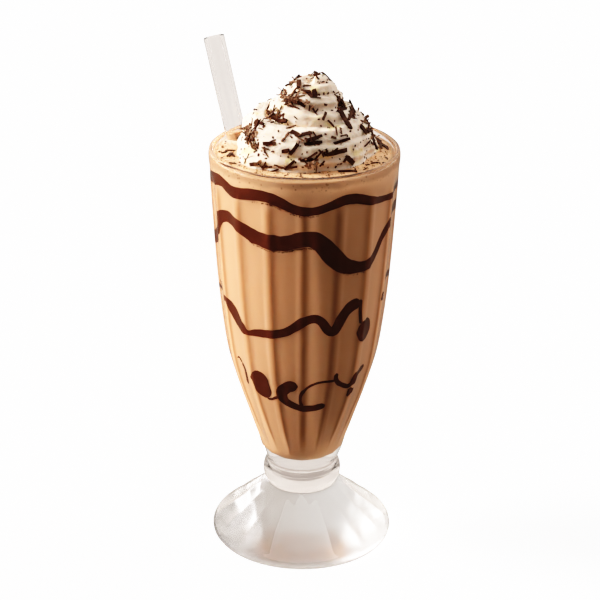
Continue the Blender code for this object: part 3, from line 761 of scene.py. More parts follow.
def cream_finish(colour):
    """Whipped cream: soft white with warm and buttery patches and a faint pitted skin."""
    finish = Finish("whipped_cream", Roughness=0.5, Subsurface_Weight=0.4,
                    Subsurface_Radius=(1.0, 0.75, 0.5), Subsurface_Scale=0.003,
                    Specular_IOR_Level=0.35)
    warm = shade(colour, 0.97, 0.94, 0.86)
    tinted = finish.mix(finish.cloud(120.0, 4.0, 0.6) * 0.8, colour, warm)
    butter = shade(colour, 1.0, 0.92, 0.4)
    finish.colour(finish.mix(finish.cloud(140.0, 2.0).between(0.58, 0.7) * 0.55, tinted, butter))
    finish.bump(finish.cloud(900.0, 4.0, 0.6) * 0.7 + finish.cells(1400.0) * 0.3, 0.25)
    return finish.material


def chocolate_finish(name, dark, pale, variety):
    """Shaved chocolate with paler scraped streaks, some pieces paler than others."""
    finish = Finish(name, Roughness=0.5, Specular_IOR_Level=0.2)
    lighter = finish.mix(finish.chance().between(0.4, 1.0) * variety, dark, pale)
    streaks = finish.cloud(420.0, 4.0, 0.7).between(0.45, 0.75)
    finish.colour(finish.mix(streaks * 0.7, lighter, pale))
    finish.bump(finish.cloud(1800.0, 3.0, 0.6), 0.15)
    return finish.material


def bubble_finish(froth):
    """The skin of a bubble in the froth, pale on some and dark on others."""
    finish = Finish("bubble_skin", Roughness=0.25, Specular_IOR_Level=0.4)
    pale, deep = shade(froth, 1.2), shade(froth, 0.55, 0.42, 0.32)
    finish.colour(finish.mix(finish.chance().between(0.3, 0.7), pale, deep))
    return finish.material


def colour_setting(name, default, description):
    """Return a colour that the user can change."""
    return FloatVectorProperty(name=name, subtype="COLOR", size=3, default=default, min=0.0,
                               max=1.0, description=description)


def strength_setting(name, default, description):
    """Return a light's strength that the user can change."""
    return FloatProperty(name=name, default=default, min=0.0, description=description)


class GlassSettings(bpy.types.PropertyGroup):
    """Sizes and tints of the glass and the straw."""

    flute_depth: FloatProperty(
        name="Flute Depth", default=0.035, min=0.0, max=0.06,
        description="Depth of the bowl's flutes as a share of its radius")
    foot_flute_depth: FloatProperty(
        name="Foot Flute Depth", default=0.03, min=0.0, max=0.06,
        description="Depth of the foot's flutes as a share of its radius")
    panels: FloatProperty(
        name="Inner Panels", default=0.7, min=0.0, max=1.0,
        description="How flat the inside of the wall is behind each flute")
    tint: colour_setting("Glass Tint", (0.98, 0.985, 0.98), "Colour of the clear glass")
    foot_tint: colour_setting(
        "Foot Tint", (0.87, 0.845, 0.83), "Colour of the thick glass of the foot")
    # The collar's darker tint is painted shade.
    collar_shade_tint: colour_setting(
        "Collar Tint", (0.58, 0.545, 0.53), "Colour of the thick glass of the collar")
    straw_tint: colour_setting("Straw Tint", (0.97, 0.97, 0.97), "Colour of the clear straw")


class DrinkSettings(bpy.types.PropertyGroup):
    """Colours of the drink and the syrup, and the number of bubbles."""

    body: colour_setting("Drink", (0.565, 0.30, 0.17), "Colour of the milky coffee")
    froth: colour_setting("Froth", (0.76, 0.45, 0.26), "Colour of the froth")
    syrup: colour_setting("Syrup", (0.080, 0.019, 0.009), "Colour of the chocolate syrup")
    bubbles: IntProperty(
        name="Bubbles", default=1400, min=1, max=5000,
        description="Number of bubbles on the froth")


class CreamSettings(bpy.types.PropertyGroup):
    """Shape and colour of the whipped cream."""

    rope: FloatProperty(
        name="Rope Thickness", default=0.545, min=0.4, max=0.8,
        description="Radius of the rope of cream as a share of the space between its turns")
    lobes: IntProperty(
        name="Lobes", default=7, min=3, max=12,
        description="Number of ridges that the nozzle leaves along the rope")
    lumps: FloatProperty(
        name="Lumps", default=1.0 * MM, min=0.0, max=2.0 * MM, unit="LENGTH",
        description="How far the cream's skin wanders in and out")
    colour: colour_setting("Cream", (0.83, 0.675, 0.555), "Colour of the whipped cream")


class ShavingSettings(bpy.types.PropertyGroup):
    """Colours of the chocolate shavings, and the seed of their scatter."""

    dark: colour_setting("Dark Chocolate", (0.040, 0.012, 0.007), "Colour of the dark shavings")
    pale: colour_setting(
        "Scraped Chocolate", (0.15, 0.075, 0.045), "Colour of the scraped streaks")
    seed: IntProperty(name="Seed", default=5, min=0, description="Seed of the scatter")


class StageSettings(bpy.types.PropertyGroup):
    """Light and floor."""

    key: strength_setting("Key Light", 8.5, "Strength of the soft light on the left")
    fill: strength_setting("Fill Light", 2.3, "Strength of the soft light behind on the right")
    top: strength_setting("Top Light", 1.0, "Strength of the soft light above")
    surround: strength_setting(
        "Surround", 0.32, "Strength of the light from all round on dull surfaces")
    floor: colour_setting("Floor", (0.86, 0.86, 0.86), "Colour of the floor")


class MILKSHAKE_OT_glass(bpy.types.Operator):
    """Make the fluted soda glass with its collar and foot"""

    bl_idname = "milkshake.glass"
    bl_label = "Glass"

    def execute(self, context):
        settings = context.scene.milkshake_glass
        scoop = flute_scoop(ALL_ROUND)
        outside = np.concatenate((spline(OUTSIDE_OUTLINE, 1.3), spline(COLLAR_OUTLINE, 0.6)[1:-1],
                                  spline(FOOT_OUTLINE, 0.8)))
        rings = []
        for radius, height in spline(INSIDE_OUTLINE, 1.3)[1:-1]:
            wall = inner_wall(ALL_ROUND, height, settings.panels, radius)
            rings.append(ring(wall, height, ALL_ROUND))
        for radius, height in outside:
            depth = (settings.flute_depth * flute_fade(height, BOWL_FLUTE_FADES)
                     + settings.foot_flute_depth * flute_fade(height, FOOT_FLUTE_FADES))
            rings.append(ring(radius * (1.0 - depth * scoop), height, ALL_ROUND))
        rings += [ring(radius, 0.0, ALL_ROUND) for radius in UNDERSIDE_RADII]
        finishes = [glass_finish("clear_glass", settings.tint, 0.0),
                    thick_glass_finish(settings.foot_tint, settings.collar_shade_tint),
                    glass_finish("ground_glass", settings.tint, UNDERSIDE_ROUGHNESS)]
        glass = lofted("soda_glass", rings, finishes)
        for face in glass.data.polygons:
            if face.center.z < UNDERSIDE_TOP * MM:
                face.material_index = 2
            elif face.center.z < THICK_GLASS_TOP * MM:
                face.material_index = 1
        keep(glass, "glass")
        return {"FINISHED"}


class MILKSHAKE_OT_drink(bpy.types.Operator):
    """Make the drink, its froth and the bubbles on it"""

    bl_idname = "milkshake.drink"
    bl_label = "Drink"

    def froth_rings(self):
        """Return the rings of the froth's uneven top, from the middle out."""
        rings = []
        for row in range(1, FROTH_ROWS + 1):
            radius = FROTH_EDGE * (row / FROTH_ROWS) ** 0.8
            rings.append(ring(radius, froth_level(radius), ALL_ROUND))
        points = np.concatenate(rings)
        reach = np.hypot(points[:, 0], points[:, 1])
        for index, point in enumerate(points):
            inside = 1.0 - smooth_step(FROTH_EDGE - FROTH_EVEN_WIDTH, FROTH_EDGE, reach[index])
            points[index, 2] += lumpiness(Vector(point), FROTH_LUMPS) * inside
        return list(points.reshape(FROTH_ROWS, AROUND, 3))

    def side_rings(self, panels):
        """Return the rings down the glass's inside, a little into its wall and its floor."""
        side = spline(INSIDE_OUTLINE, 1.2)
        side = side[(side[:, 1] < FROTH_EDGE_LEVEL - 0.3) & (side[:, 0] > 1.0)][::-1]
        rings = []
        for radius, height in side:
            reach = DRINK_REACH * smooth_step(*BOWL_FLOOR_HEIGHTS, height)
            if height > BOWL_FLUTE_FADES[0][0]:
                radius = inner_wall(ALL_ROUND, height, panels)
            rings.append(ring(radius + reach, height - (DRINK_REACH - reach), ALL_ROUND))
        return rings

    def bubbles(self, count, finish):
        """Scatter small bubbles over the froth, most of them near the glass."""
        draw = random.Random(BUBBLE_SEED)
        bubbles = Gathering()
        for _ in range(count):
            turn = draw.uniform(0.0, math.tau)
            radius = FROTH_EDGE - BUBBLES_FROM - BUBBLES_WIDTH * draw.random() ** 1.4
            shape = bead_points(BUBBLE_LEAST + BUBBLE_GROWTH * draw.random() ** 3)
            bubbles.put(*shape, polar(turn, radius, froth_level(radius)), UP, 0.0, 0.0)
        keep(bubbles.finish("froth_bubbles", finish, 180.0))

    def execute(self, context):
        settings = context.scene.milkshake_drink
        rings = self.froth_rings() + self.side_rings(context.scene.milkshake_glass.panels)
        finishes = [drink_finish(settings.body, settings.froth), froth_finish(settings.froth)]
        drink = lofted("coffee_drink", rings, finishes)
        for face in drink.data.polygons:
            if face.normal.z > 0.5 and face.center.z > (DRINK_LEVEL - 2.0) * MM:
                face.material_index = 1
        keep(drink, "milkshake")
        self.bubbles(settings.bubbles, bubble_finish(settings.froth))
        return {"FINISHED"}


class MILKSHAKE_OT_syrup(bpy.types.Operator):
    """Make the syrup ribbons, threads and beads on the glass's inside"""

    bl_idname = "milkshake.syrup"
    bl_label = "Syrup"

    def beads(self, finish, panels):
        """String tiny beads of syrup along the lower edges of the two rings."""
        draw = random.Random(BEAD_SEED)
        beads = Gathering()
        for path, first, last, count in BEAD_RUNS:
            path = np.array(path, dtype=float)
            for _ in range(count):
                angle = draw.uniform(first, last)
                middle, width = (np.interp(angle, path[:, 0], path[:, column]) for column in (1, 2))
                height = middle - width / 2.0 - draw.uniform(*BEAD_DROPS)
                shape = bead_points(draw.uniform(*BEAD_SIZES))
                turn = from_front(angle)
                radius = float(inner_wall(turn, height, panels)) + BEAD_REACH
                place = polar(turn, radius, height)
                beads.put(*shape, place, outward(turn), draw.uniform(-90.0, 90.0), 0.0)
        keep(beads.finish("syrup_beads", finish, 80.0))

    def course(self, path, closed, whole_turn):
        """Return a ribbon's points on the unrolled glass, and its direction at each."""
        if closed:
            path = np.concatenate((path, path[:1] + (whole_turn, 0.0, 0.0)))
        line = spline(path, SYRUP_SPACING)
        if closed:
            line = line[:-1]
            before, after = np.roll(line, 1, axis=0), np.roll(line, -1, axis=0)
            before[0, 0] -= whole_turn
            after[-1, 0] += whole_turn
            along = after[:, :2] - before[:, :2]
        else:
            along = np.gradient(line[:, :2], axis=0)
        return line, along / np.linalg.norm(along, axis=1)[:, None]

    def half_widths(self, line, closed):
        """Return half of a ribbon's width along it, a little uneven and round at open ends."""
        half = line[:, 2] / 2.0
        for index, (x, z, _) in enumerate(line):
            half[index] *= 1.0 + 0.09 * noise.noise(Vector((x * 0.35, z * 0.35, 3.0)))
        if closed:
            return half
        steps = np.linalg.norm(np.diff(line[:, :2], axis=0), axis=1)
        places = np.concatenate(([0.0], np.cumsum(steps)))
        ends = np.minimum(places, places[-1] - places)
        blunt = np.clip(ends / np.maximum(half * 0.9, 0.5), 0.0, 1.0)
        return half * np.sqrt(np.clip(1.0 - (1.0 - blunt) ** 2, 0.03, 1.0))

    def ribbon(self, path, closed, panels):
        """Return the points and faces of one ribbon, closed into a ring if asked."""
        path = np.array(path, dtype=float)
        radius = float(inner_radius(path[:, 1].mean()))
        a_degree = math.radians(1.0) * radius
        line, along = self.course(path * (a_degree, 1.0, 1.0), closed, math.tau * radius)
        across = np.stack((-along[:, 1], along[:, 0]), axis=1)
        half = self.half_widths(line, closed)
        layers = []
        for depth in (SYRUP_REACH, -SYRUP_SUNK):
            layer = []
            for share in np.linspace(-1.0, 1.0, SYRUP_COLUMNS):
                flat = line[:, :2] + across * (half * share)[:, None]
                turns = from_front(flat[:, 0] / a_degree)
                wall = inner_wall(turns, flat[:, 1], panels)
                layer.append(ring(wall + depth, flat[:, 1], turns))
            layers.append(np.stack(layer, axis=1))
        section = np.concatenate((layers[0], layers[1][:, ::-1]), axis=1)
        rows, around = section.shape[:2]
        points = section.reshape(-1, 3)
        faces = (quad_faces(rows + closed, around, True) % len(points)).tolist()
        if not closed:
            last = (rows - 1) * around
            faces.append(list(range(around)))
            faces.append(list(range(last, last + around))[::-1])
        return points, faces

    def execute(self, context):
        panels = context.scene.milkshake_glass.panels
        finish = syrup_finish(context.scene.milkshake_drink.syrup)
        self.beads(finish, panels)
        for name, paths, closed in (("syrup_rings", SYRUP_RINGS, True),
                                    ("syrup_ribbons", SYRUP_RIBBONS, False),
                                    ("syrup_threads", SYRUP_THREADS, False)):
            syrup = Gathering()
            for path in paths:
                syrup.add(*self.ribbon(path, closed, panels))
            keep(syrup.finish(name, finish, 50.0), "milkshake")
        return {"FINISHED"}


def straw_axis():
    """Return the straw's foot in millimetres and its direction."""
    lean, towards = math.radians(STRAW_LEAN), math.radians(STRAW_TOWARDS)
    direction = Vector((math.sin(lean) * math.cos(towards), math.sin(lean) * math.sin(towards),
                        math.cos(lean)))
    return Vector(STRAW_FOOT), direction


def on_straw(profile, steps):
    """Turn (radius, distance from the foot) pairs into rings round the straw's axis."""
    foot, direction = straw_axis()
    turn = np.array(direction.to_track_quat("Z", "Y").to_matrix())
    angles = np.linspace(0.0, math.tau, steps, endpoint=False)
    return [ring(radius, along, angles) @ turn.T + np.array(foot) for radius, along in profile]


class MILKSHAKE_OT_straw(bpy.types.Operator):
    """Make the clear straw and the drink that stands in its bore"""

    bl_idname = "milkshake.straw"
    bl_label = "Straw"

    def execute(self, context):
        bore = STRAW_RADIUS - STRAW_WALL
        lip = STRAW_WALL / 2.0
        lip_depth = lip * STRAW_LIP_ROUNDING
        middle = (STRAW_RADIUS + bore) / 2.0
        low, high = STRAW_PLAIN_FROM, STRAW_LENGTH - STRAW_PLAIN_FROM
        turns = np.linspace(0.0, math.pi, 9)
        profile = [(middle - lip * math.cos(turn),
                    lip_depth * math.sin(turn) + STRAW_LENGTH - lip_depth) for turn in turns]
        profile += [(STRAW_RADIUS, along) for along in np.linspace(high, low, STRAW_ROWS)]
        profile += [(middle + lip * math.cos(turn), lip_depth - lip_depth * math.sin(turn))
                    for turn in turns]
        profile += [(bore, along) for along in np.linspace(low, high, STRAW_ROWS)]
        rings = on_straw(profile, 64)
        rings.append(rings[0])
        tint = context.scene.milkshake_glass.straw_tint
        finish = glass_finish("clear_straw", tint, 0.0, STRAW_BENDING)
        straw = lofted("drinking_straw", rings, [finish], poles=False)
        keep(straw, "straw")

        reach = bore + STRAW_DRINK_REACH
        filled = (STRAW_DRINK_LEVEL - STRAW_FOOT[2]) / math.cos(math.radians(STRAW_LEAN))
        column = [(reach * share, filled) for share in (0.25, 0.5, 0.75, 1.0)]
        column += [(reach, along) for along in np.linspace(filled - 0.6, 0.6, 30)]
        column += [(reach * share, 0.4) for share in (0.75, 0.5, 0.25)]
        drink = context.scene.milkshake_drink
        material = bpy.data.materials.get("milky_coffee") or drink_finish(drink.body, drink.froth)
        keep(lofted("drink_in_straw", on_straw(column, 48), [material]))
        return {"FINISHED"}


class MILKSHAKE_OT_cream(bpy.types.Operator):
    """Make the swirl of whipped cream"""

    bl_idname = "milkshake.cream"
    bl_label = "Whipped Cream"

    def rope(self, settings):
        """Return the rings of the rope that winds up inside the mound's outline."""
        line = spline(CREAM_OUTLINE, 0.4)[:, :2]
        steps = np.diff(line, axis=0)
        along = np.concatenate(([0.0], np.cumsum(np.linalg.norm(steps, axis=1))))
        slopes = np.gradient(line, along, axis=0)
        corners = np.linspace(0.0, math.tau, ROPE_SIDES, endpoint=False)
        whole = np.arange(len(ROPE_TURNS))
        rings = []
        for turn in np.arange(ROPE_START, len(ROPE_TURNS) - 1.0, 1.0 / ROPE_STEPS):
            place = np.interp(turn, whole, ROPE_TURNS) + min(turn, 0.0) * ROPE_FIRST_SPACE
            space = (np.interp(turn + 0.5, whole, ROPE_TURNS)
                     - np.interp(turn - 0.5, whole, ROPE_TURNS))
            space = max(space, ROPE_LEAST_SPACE) if turn > 0.5 else ROPE_FIRST_SPACE
            wander = noise.noise(Vector((turn * 2.6, 1.7, 0.0)))
            place += 1.5 * noise.noise(Vector((turn * 1.7, 8.3, 0.0)))
            flank = math.remainder(-turn * 360.0 - ROPE_FLANK, 360.0) / ROPE_FLANK_WIDTH
            swell = 1.0 + 0.12 * wander + 0.16 * math.exp(-(flank ** 2))
            size = settings.rope * space * swell
            radius, height, out, up = (np.interp(place, along, column) for column in (
                line[:, 0], line[:, 1], slopes[:, 1], -slopes[:, 0]))
            size = min(size, max(radius * 0.75, 1.6))
            radius -= size * out
            height -= size * up
            angle = FRONT - math.tau * turn
            section = size * (1.0 + 0.05 * np.cos(settings.lobes * corners + turn * 2.5))
            reach = max(radius, 0.2) + section * np.cos(corners)
            rings.append(np.stack((reach * math.cos(angle), reach * math.sin(angle),
                                   height + section * np.sin(corners)), axis=1))
        last = rings[-1].mean(axis=0)
        tip = np.array((0.0, 0.0, CREAM_OUTLINE[-1][1]))
        around = rings[-1] - last
        for share in (0.3, 0.6, 0.85, 0.98):
            rings.append(last + (tip - last) * share + around * (1.0 - share) ** 0.7)
        return rings

    def execute(self, context):
        settings = context.scene.milkshake_cream
        finish = cream_finish(settings.colour)
        rope = lofted("cream_swirl", self.rope(settings)[::-1], [finish])
        angles = np.linspace(0.0, math.tau, 64, endpoint=False)
        core = [ring(max(radius - CORE_INSET, 0.3), max(height - CORE_DROP, CREAM_UNDERSIDE),
                     angles) for radius, height in spline(CREAM_OUTLINE, 1.5)[::-1]]
        foot = [ring(radius, height, angles) for radius, height in CREAM_FOOT_OUTLINE]
        pieces = [rope, lofted("cream_core", core, []), lofted("cream_foot", foot, [])]
        with context.temp_override(active_object=rope, selected_editable_objects=pieces):
            bpy.ops.object.join()
        fused = rope.modifiers.new("Fuse", "REMESH")
        fused.mode = "VOXEL"
        fused.voxel_size = CREAM_VOXEL * MM
        soft = rope.modifiers.new("Soften", "SMOOTH")
        soft.factor = 0.5
        soft.iterations = CREAM_SOFTENING
        apply_modifiers(rope)
        rope.data.materials.clear()
        rope.data.materials.append(finish)
        rope.data.shade_smooth()
        self.settle(rope.data, settings.lumps / MM)
        keep(rope, "whipped_cream")
        return {"FINISHED"}

    def settle(self, mesh, lumps):
        """Spread, lean and roughen the mound as real cream, and keep it clear of the straw."""
        mesh.update()
        foot, direction = straw_axis()
        clear = STRAW_RADIUS + CREAM_CLEARANCE
        spread = np.array(CREAM_SPREAD)
        middle = Vector((*CREAM_MIDDLE, CREAM_BASE))
        wall = float(inner_radius(CREAM_BASE)) - CREAM_WALL_GAP
        normals = [vert.normal.copy() for vert in mesh.vertices]
        for vert, normal in zip(mesh.vertices, normals):
            place = vert.co / MM
            place += normal * lumps * lumpiness(place, CREAM_LUMPS)
            angle = math.degrees(math.atan2(place.x, -place.y))
            low = 1.0 - smooth_step(*CREAM_SPREAD_HEIGHTS, place.z)
            folds = FOLD_DEPTH * math.cos(math.radians(FOLDS * angle)) * low
            radius = math.hypot(place.x, place.y)
            outer = smooth_step(*CREAM_SPREAD_RADII, radius)
            extra = np.interp(angle, spread[:, 0], spread[:, 1])
            grown = (radius + outer * (low * low * extra + folds)) / max(radius, 0.01)
            place.x *= grown
            place.y *= grown
            place.x += CREAM_LEAN * smooth_step(*CREAM_LEAN_HEIGHTS, place.z)
            place.z = max(place.z, CREAM_LOWEST)
            place += middle
            radius = math.hypot(place.x, place.y)
            if radius > wall:
                place.x *= wall / radius
                place.y *= wall / radius
            along = (place - foot).dot(direction)
            off = place - foot - direction * along
            if off.length < clear:
                place = foot + direction * along + off.normalized() * clear
            vert.co = place * MM
        mesh.update()


def mound_normal(angle, height):
    """Return the way out of the mound's plain outline at an angle and height."""
    rise = 0.8
    slope = (cream_outline_radius(height - rise) - cream_outline_radius(height + rise)) / (2 * rise)
    return outward(from_front(angle), max(float(slope), -0.2)).normalized()


def surface_under(tree, angle, height):
    """Return a point of the cream, seen level from outside at an angle, and the way out."""
    out = outward(from_front(angle))
    start = Vector((*CREAM_MIDDLE, CREAM_BASE + height)) * MM + out * RAY_START * MM
    place, normal = tree.ray_cast(start, -out)[:2]
    if place is None:
        return None, None
    return place, (normal * 0.35 + mound_normal(angle, height) * 0.65).normalized()


def spin_axes(normal, spin):
    """Return the directions along and across a piece that lies on a surface."""
    sideways = UP.cross(normal)
    if sideways.length < 0.1:
        sideways = Vector((1.0, 0.0, 0.0))
    sideways.normalize()
    upwards = normal.cross(sideways)
    turn = math.radians(spin)
    along = sideways * math.cos(turn) + upwards * math.sin(turn)
    return along, normal.cross(along)


def rest_on(tree, place, normal, spin, length):
    """Return the place and way out of a stick that rests on the two highest spots under it."""
    along = spin_axes(normal, spin)[0]
    spots = []
    for share in REST_SHARES:
        start = place + along * (share * length * MM) + normal * REST_ABOVE * MM
        hit = tree.ray_cast(start, -normal, REST_REACH * MM)[0]
        if hit is not None:
            spots.append((share * length, (hit - place).dot(normal) / MM))
    left = [spot for spot in spots if spot[0] <= 0.0]
    right = [spot for spot in spots if spot[0] >= 0.0]
    if not left or not right:
        return place, normal
    first = max(left, key=lambda spot: spot[1])
    second = max(right, key=lambda spot: spot[1])
    if second[0] - first[0] < 0.2 * length:
        return place + normal * max(first[1], second[1]) * MM, normal
    slope = (second[1] - first[1]) / (second[0] - first[0])
    slope = min(max(slope, -STEEPEST), STEEPEST)
    level = max(height - slope * share for share, height in spots)
    return place + normal * level * MM, (normal - along * slope).normalized()


def bead_points(size):
    """Return the points and faces of one small round bead."""
    points = [(0.0, 0.0, size)]
    for level in (0.6, -0.6):
        for turn in np.linspace(0.0, math.tau, 6, endpoint=False):
            points.append((size * 0.8 * math.cos(turn), size * 0.8 * math.sin(turn), size * level))
    points.append((0.0, 0.0, -size))
    faces = []
    for corner in range(6):
        after = (corner + 1) % 6
        faces.append((0, 1 + corner, 1 + after))
        faces.append((1 + corner, 7 + corner, 7 + after, 1 + after))
        faces.append((13, 7 + after, 7 + corner))
    return np.array(points), faces


def bar_faces(rows):
    """Return the faces of a bar with four corners in each row, closed at both ends."""
    faces = [(3, 2, 1, 0)]
    for first in range(0, 4 * (rows - 1), 4):
        for corner in range(4):
            after = (corner + 1) % 4
            faces.append((first + corner, first + after, first + 4 + after, first + 4 + corner))
    last = (rows - 1) * 4
    faces.append((last, last + 1, last + 2, last + 3))
    return faces


def stick_points(length, width, thickness, bend, draw):
    """Return the points and faces of one splintered, slightly bent stick."""
    points = []
    for row in range(STICK_ROWS):
        share = row / (STICK_ROWS - 1) - 0.5
        end = 1.0 - 0.35 * draw.random() * (2.0 * abs(share)) ** 3
        half = width / 2.0 * end * draw.uniform(0.86, 1.08)
        deep = thickness / 2.0 * draw.uniform(0.75, 1.1)
        rise = bend * (0.25 - share * share) * length
        slide = draw.uniform(-0.05, 0.05) * width
        skew = draw.uniform(-0.12, 0.12) * width * (abs(share) > 0.49)
        for side, lift in ((-1, -1), (1, -1), (1, 1), (-1, 1)):
            points.append((share * length + skew * side, side * half + slide, lift * deep + rise))
    return np.array(points), bar_faces(STICK_ROWS)


def curl_points(radius, width, sweep, draw):
    """Return the points and faces of one thin rolled curl."""
    points = []
    for row in range(CURL_ROWS):
        share = row / (CURL_ROWS - 1)
        turn = sweep * (share - 0.5)
        size = radius * (1.0 - 0.35 * share)
        half = width / 2.0 * (1.0 - 0.5 * abs(2.0 * share - 1.0) ** 3) * draw.uniform(0.85, 1.1)
        for side, deep in ((-1, 0.0), (1, 0.0), (1, CURL_THICKNESS), (-1, CURL_THICKNESS)):
            points.append(((size - deep) * math.sin(turn), side * half + share * width * 0.6,
                           radius - (size - deep) * math.cos(turn)))
    return np.array(points), bar_faces(CURL_ROWS)


class Gathering:
    """Gathers many shapes into one object."""

    def __init__(self):
        self.points = []
        self.faces = []
        self.count = 0

    def add(self, points, faces):
        """Add a shape where it is."""
        self.points.append(points)
        self.faces.extend([corner + self.count for corner in face] for face in faces)
        self.count += len(points)

    def put(self, points, faces, place, normal, spin, lift):
        """Lay a shape at a place in metres, turned by spin degrees and lifted by millimetres."""
        axes = np.array((*spin_axes(normal, spin), normal))
        self.add(points @ axes + np.array(place) / MM + np.array(normal) * lift, faces)

    def finish(self, name, material, sharp=35.0):
        """Make the object, with edges over a number of degrees left sharp."""
        obj = new_object(name, np.concatenate(self.points), self.faces, [material])
        obj.data.set_sharp_from_angle(angle=math.radians(sharp))
        return obj


class MILKSHAKE_OT_shavings(bpy.types.Operator):
    """Scatter chocolate sticks, curls and crumbs over the cream and the froth"""

    bl_idname = "milkshake.shavings"
    bl_label = "Chocolate Shavings"

    def hidden(self):
        """Return the seeded shavings on the far side."""
        draw = random.Random(HIDDEN_SEED)
        first, last = HIDDEN_ANGLES
        places = []
        for index in range(HIDDEN_SHAVINGS):
            share = (index + draw.random()) / HIDDEN_SHAVINGS
            places.append((first + (last - first) * share, draw.uniform(*HIDDEN_HEIGHTS),
                           draw.uniform(-90.0, 90.0), draw.uniform(*HIDDEN_LENGTHS),
                           draw.uniform(*HIDDEN_WIDTHS)))
        return tuple(places)

    def spots(self, draw):
        """Return where the small shavings lie, as (angle, height, whether it is a curl)."""
        spots = []
        for angle, angle_spread, height, height_spread, count, curled in CLUSTERS:
            for _ in range(count):
                spots.append((draw.gauss(angle, angle_spread), draw.gauss(height, height_spread),
                              draw.random() < curled))
        for _ in range(LOOSE_SHAVINGS):
            spots.append((*self.anywhere(draw), False))
        return spots

    def anywhere(self, draw):
        """Return an angle and a height somewhere on the cream."""
        return draw.uniform(-180.0, 180.0), CREAM_SPRINKLED_TOP * draw.random() ** 1.1

    def is_free(self, place, reach):
        """Say whether there is a place, in metres, and the straw is further off than a reach."""
        if place is None:
            return False
        foot, direction = straw_axis()
        offset = place / MM - foot
        return (offset - direction * offset.dot(direction)).length > STRAW_RADIUS + reach

    def large(self, tree, draw, sticks):
        """Lay the larger shavings on the cream."""
        for angle, height, spin, length, width in SHAVINGS + self.hidden():
            place, normal = surface_under(tree, angle, height)
            if not self.is_free(place, length / 2.0):
                continue
            place, normal = rest_on(tree, place, normal, spin, length)
            bend = draw.uniform(-0.04, 0.04)
            shape = stick_points(length, width, SHAVING_THICKNESS, bend, draw)
            sticks.put(*shape, place, normal, spin, 0.1)

    def on_froth(self, table, thickness, bend, draw, pieces):
        """Lay a table's shavings flat on the froth."""
        for angle, radius, spin, length, width in table:
            shape = stick_points(length, width, thickness, bend, draw)
            pieces.put(*shape, polar(from_front(angle), radius, DRINK_LEVEL), UP, spin, 0.2)

    def small(self, tree, draw, slivers, curls):
        """Scatter the small slivers and curls over the cream."""
        for angle, height, curled in self.spots(draw):
            height = min(max(height, 0.6), CREAM_SPRINKLED_TOP)
            place, normal = surface_under(tree, angle, height)
            if not self.is_free(place, SLIVER_CLEARANCE):
                continue
            tilt = Vector([draw.gauss(0, 0.25) for _ in range(3)])
            normal = (normal + tilt).normalized()
            spin = draw.uniform(-90.0, 90.0)
            if curled:
                shape = curl_points(draw.uniform(*CURL_RADII), draw.uniform(*CURL_WIDTHS),
                                    draw.uniform(*CURL_SWEEPS), draw)
                curls.put(*shape, place, normal, spin, -0.1)
            else:
                length = 1.4 + 4.0 * draw.random() ** 1.6
                place, normal = rest_on(tree, place, normal, spin, length)
                shape = stick_points(length, draw.uniform(*SLIVER_WIDTHS),
                                     draw.uniform(*SLIVER_THICKNESSES), draw.uniform(-0.2, 0.2),
                                     draw)
                slivers.put(*shape, place, normal, spin, draw.uniform(0.05, 0.3))

    def finest(self, tree, draw, crumbs):
        """Scatter the crumbs, one in three of them on the froth."""
        rim = float(inner_radius(DRINK_LEVEL)) - 1.6
        for index in range(CRUMBS):
            size = draw.uniform(*CRUMB_SIZES)
            shape = stick_points(size * 1.5, size, size * 0.6, 0.0, draw)
            if index % 3 == 0:
                turn, radius = draw.uniform(0, math.tau), draw.uniform(CRUMBS_FROM, rim)
                place, normal = polar(turn, radius, DRINK_LEVEL), UP
            else:
                place, normal = surface_under(tree, *self.anywhere(draw))
            if not self.is_free(place, CRUMB_CLEARANCE):
                continue
            crumbs.put(*shape, place, normal, draw.uniform(-90, 90), 0.05)

    def execute(self, context):
        settings = context.scene.milkshake_shavings
        cream = bpy.data.objects["cream_swirl"]
        tree = BVHTree.FromObject(cream, context.evaluated_depsgraph_get())
        draw = random.Random(settings.seed)
        sticks, slivers, curls, crumbs = Gathering(), Gathering(), Gathering(), Gathering()
        self.large(tree, draw, sticks)
        self.on_froth(DRINK_SHAVINGS, SHAVING_THICKNESS, 0.03, draw, sticks)
        self.on_froth(FROTH_SLIVERS, SLIVER_THICKNESSES[1], 0.06, draw, slivers)
        self.small(tree, draw, slivers, curls)
        self.finest(tree, draw, crumbs)
        dark, pale = settings.dark, settings.pale
        plain = chocolate_finish("dark_chocolate", dark, pale, 0.25)
        brown = chocolate_finish("brown_chocolate", shade(dark, 1.5), pale, 0.9)
        milky = chocolate_finish("scraped_chocolate", shade(pale, 1.5),
                                 shade(pale, 2.7, 3.3, 3.7), 1.0)
        for name, gathered, material in (
                ("chocolate_sticks", sticks, plain), ("chocolate_slivers", slivers, brown),
                ("chocolate_curls", curls, milky), ("chocolate_crumbs", crumbs, brown)):
            keep(gathered.finish(name, material))
        return {"FINISHED"}


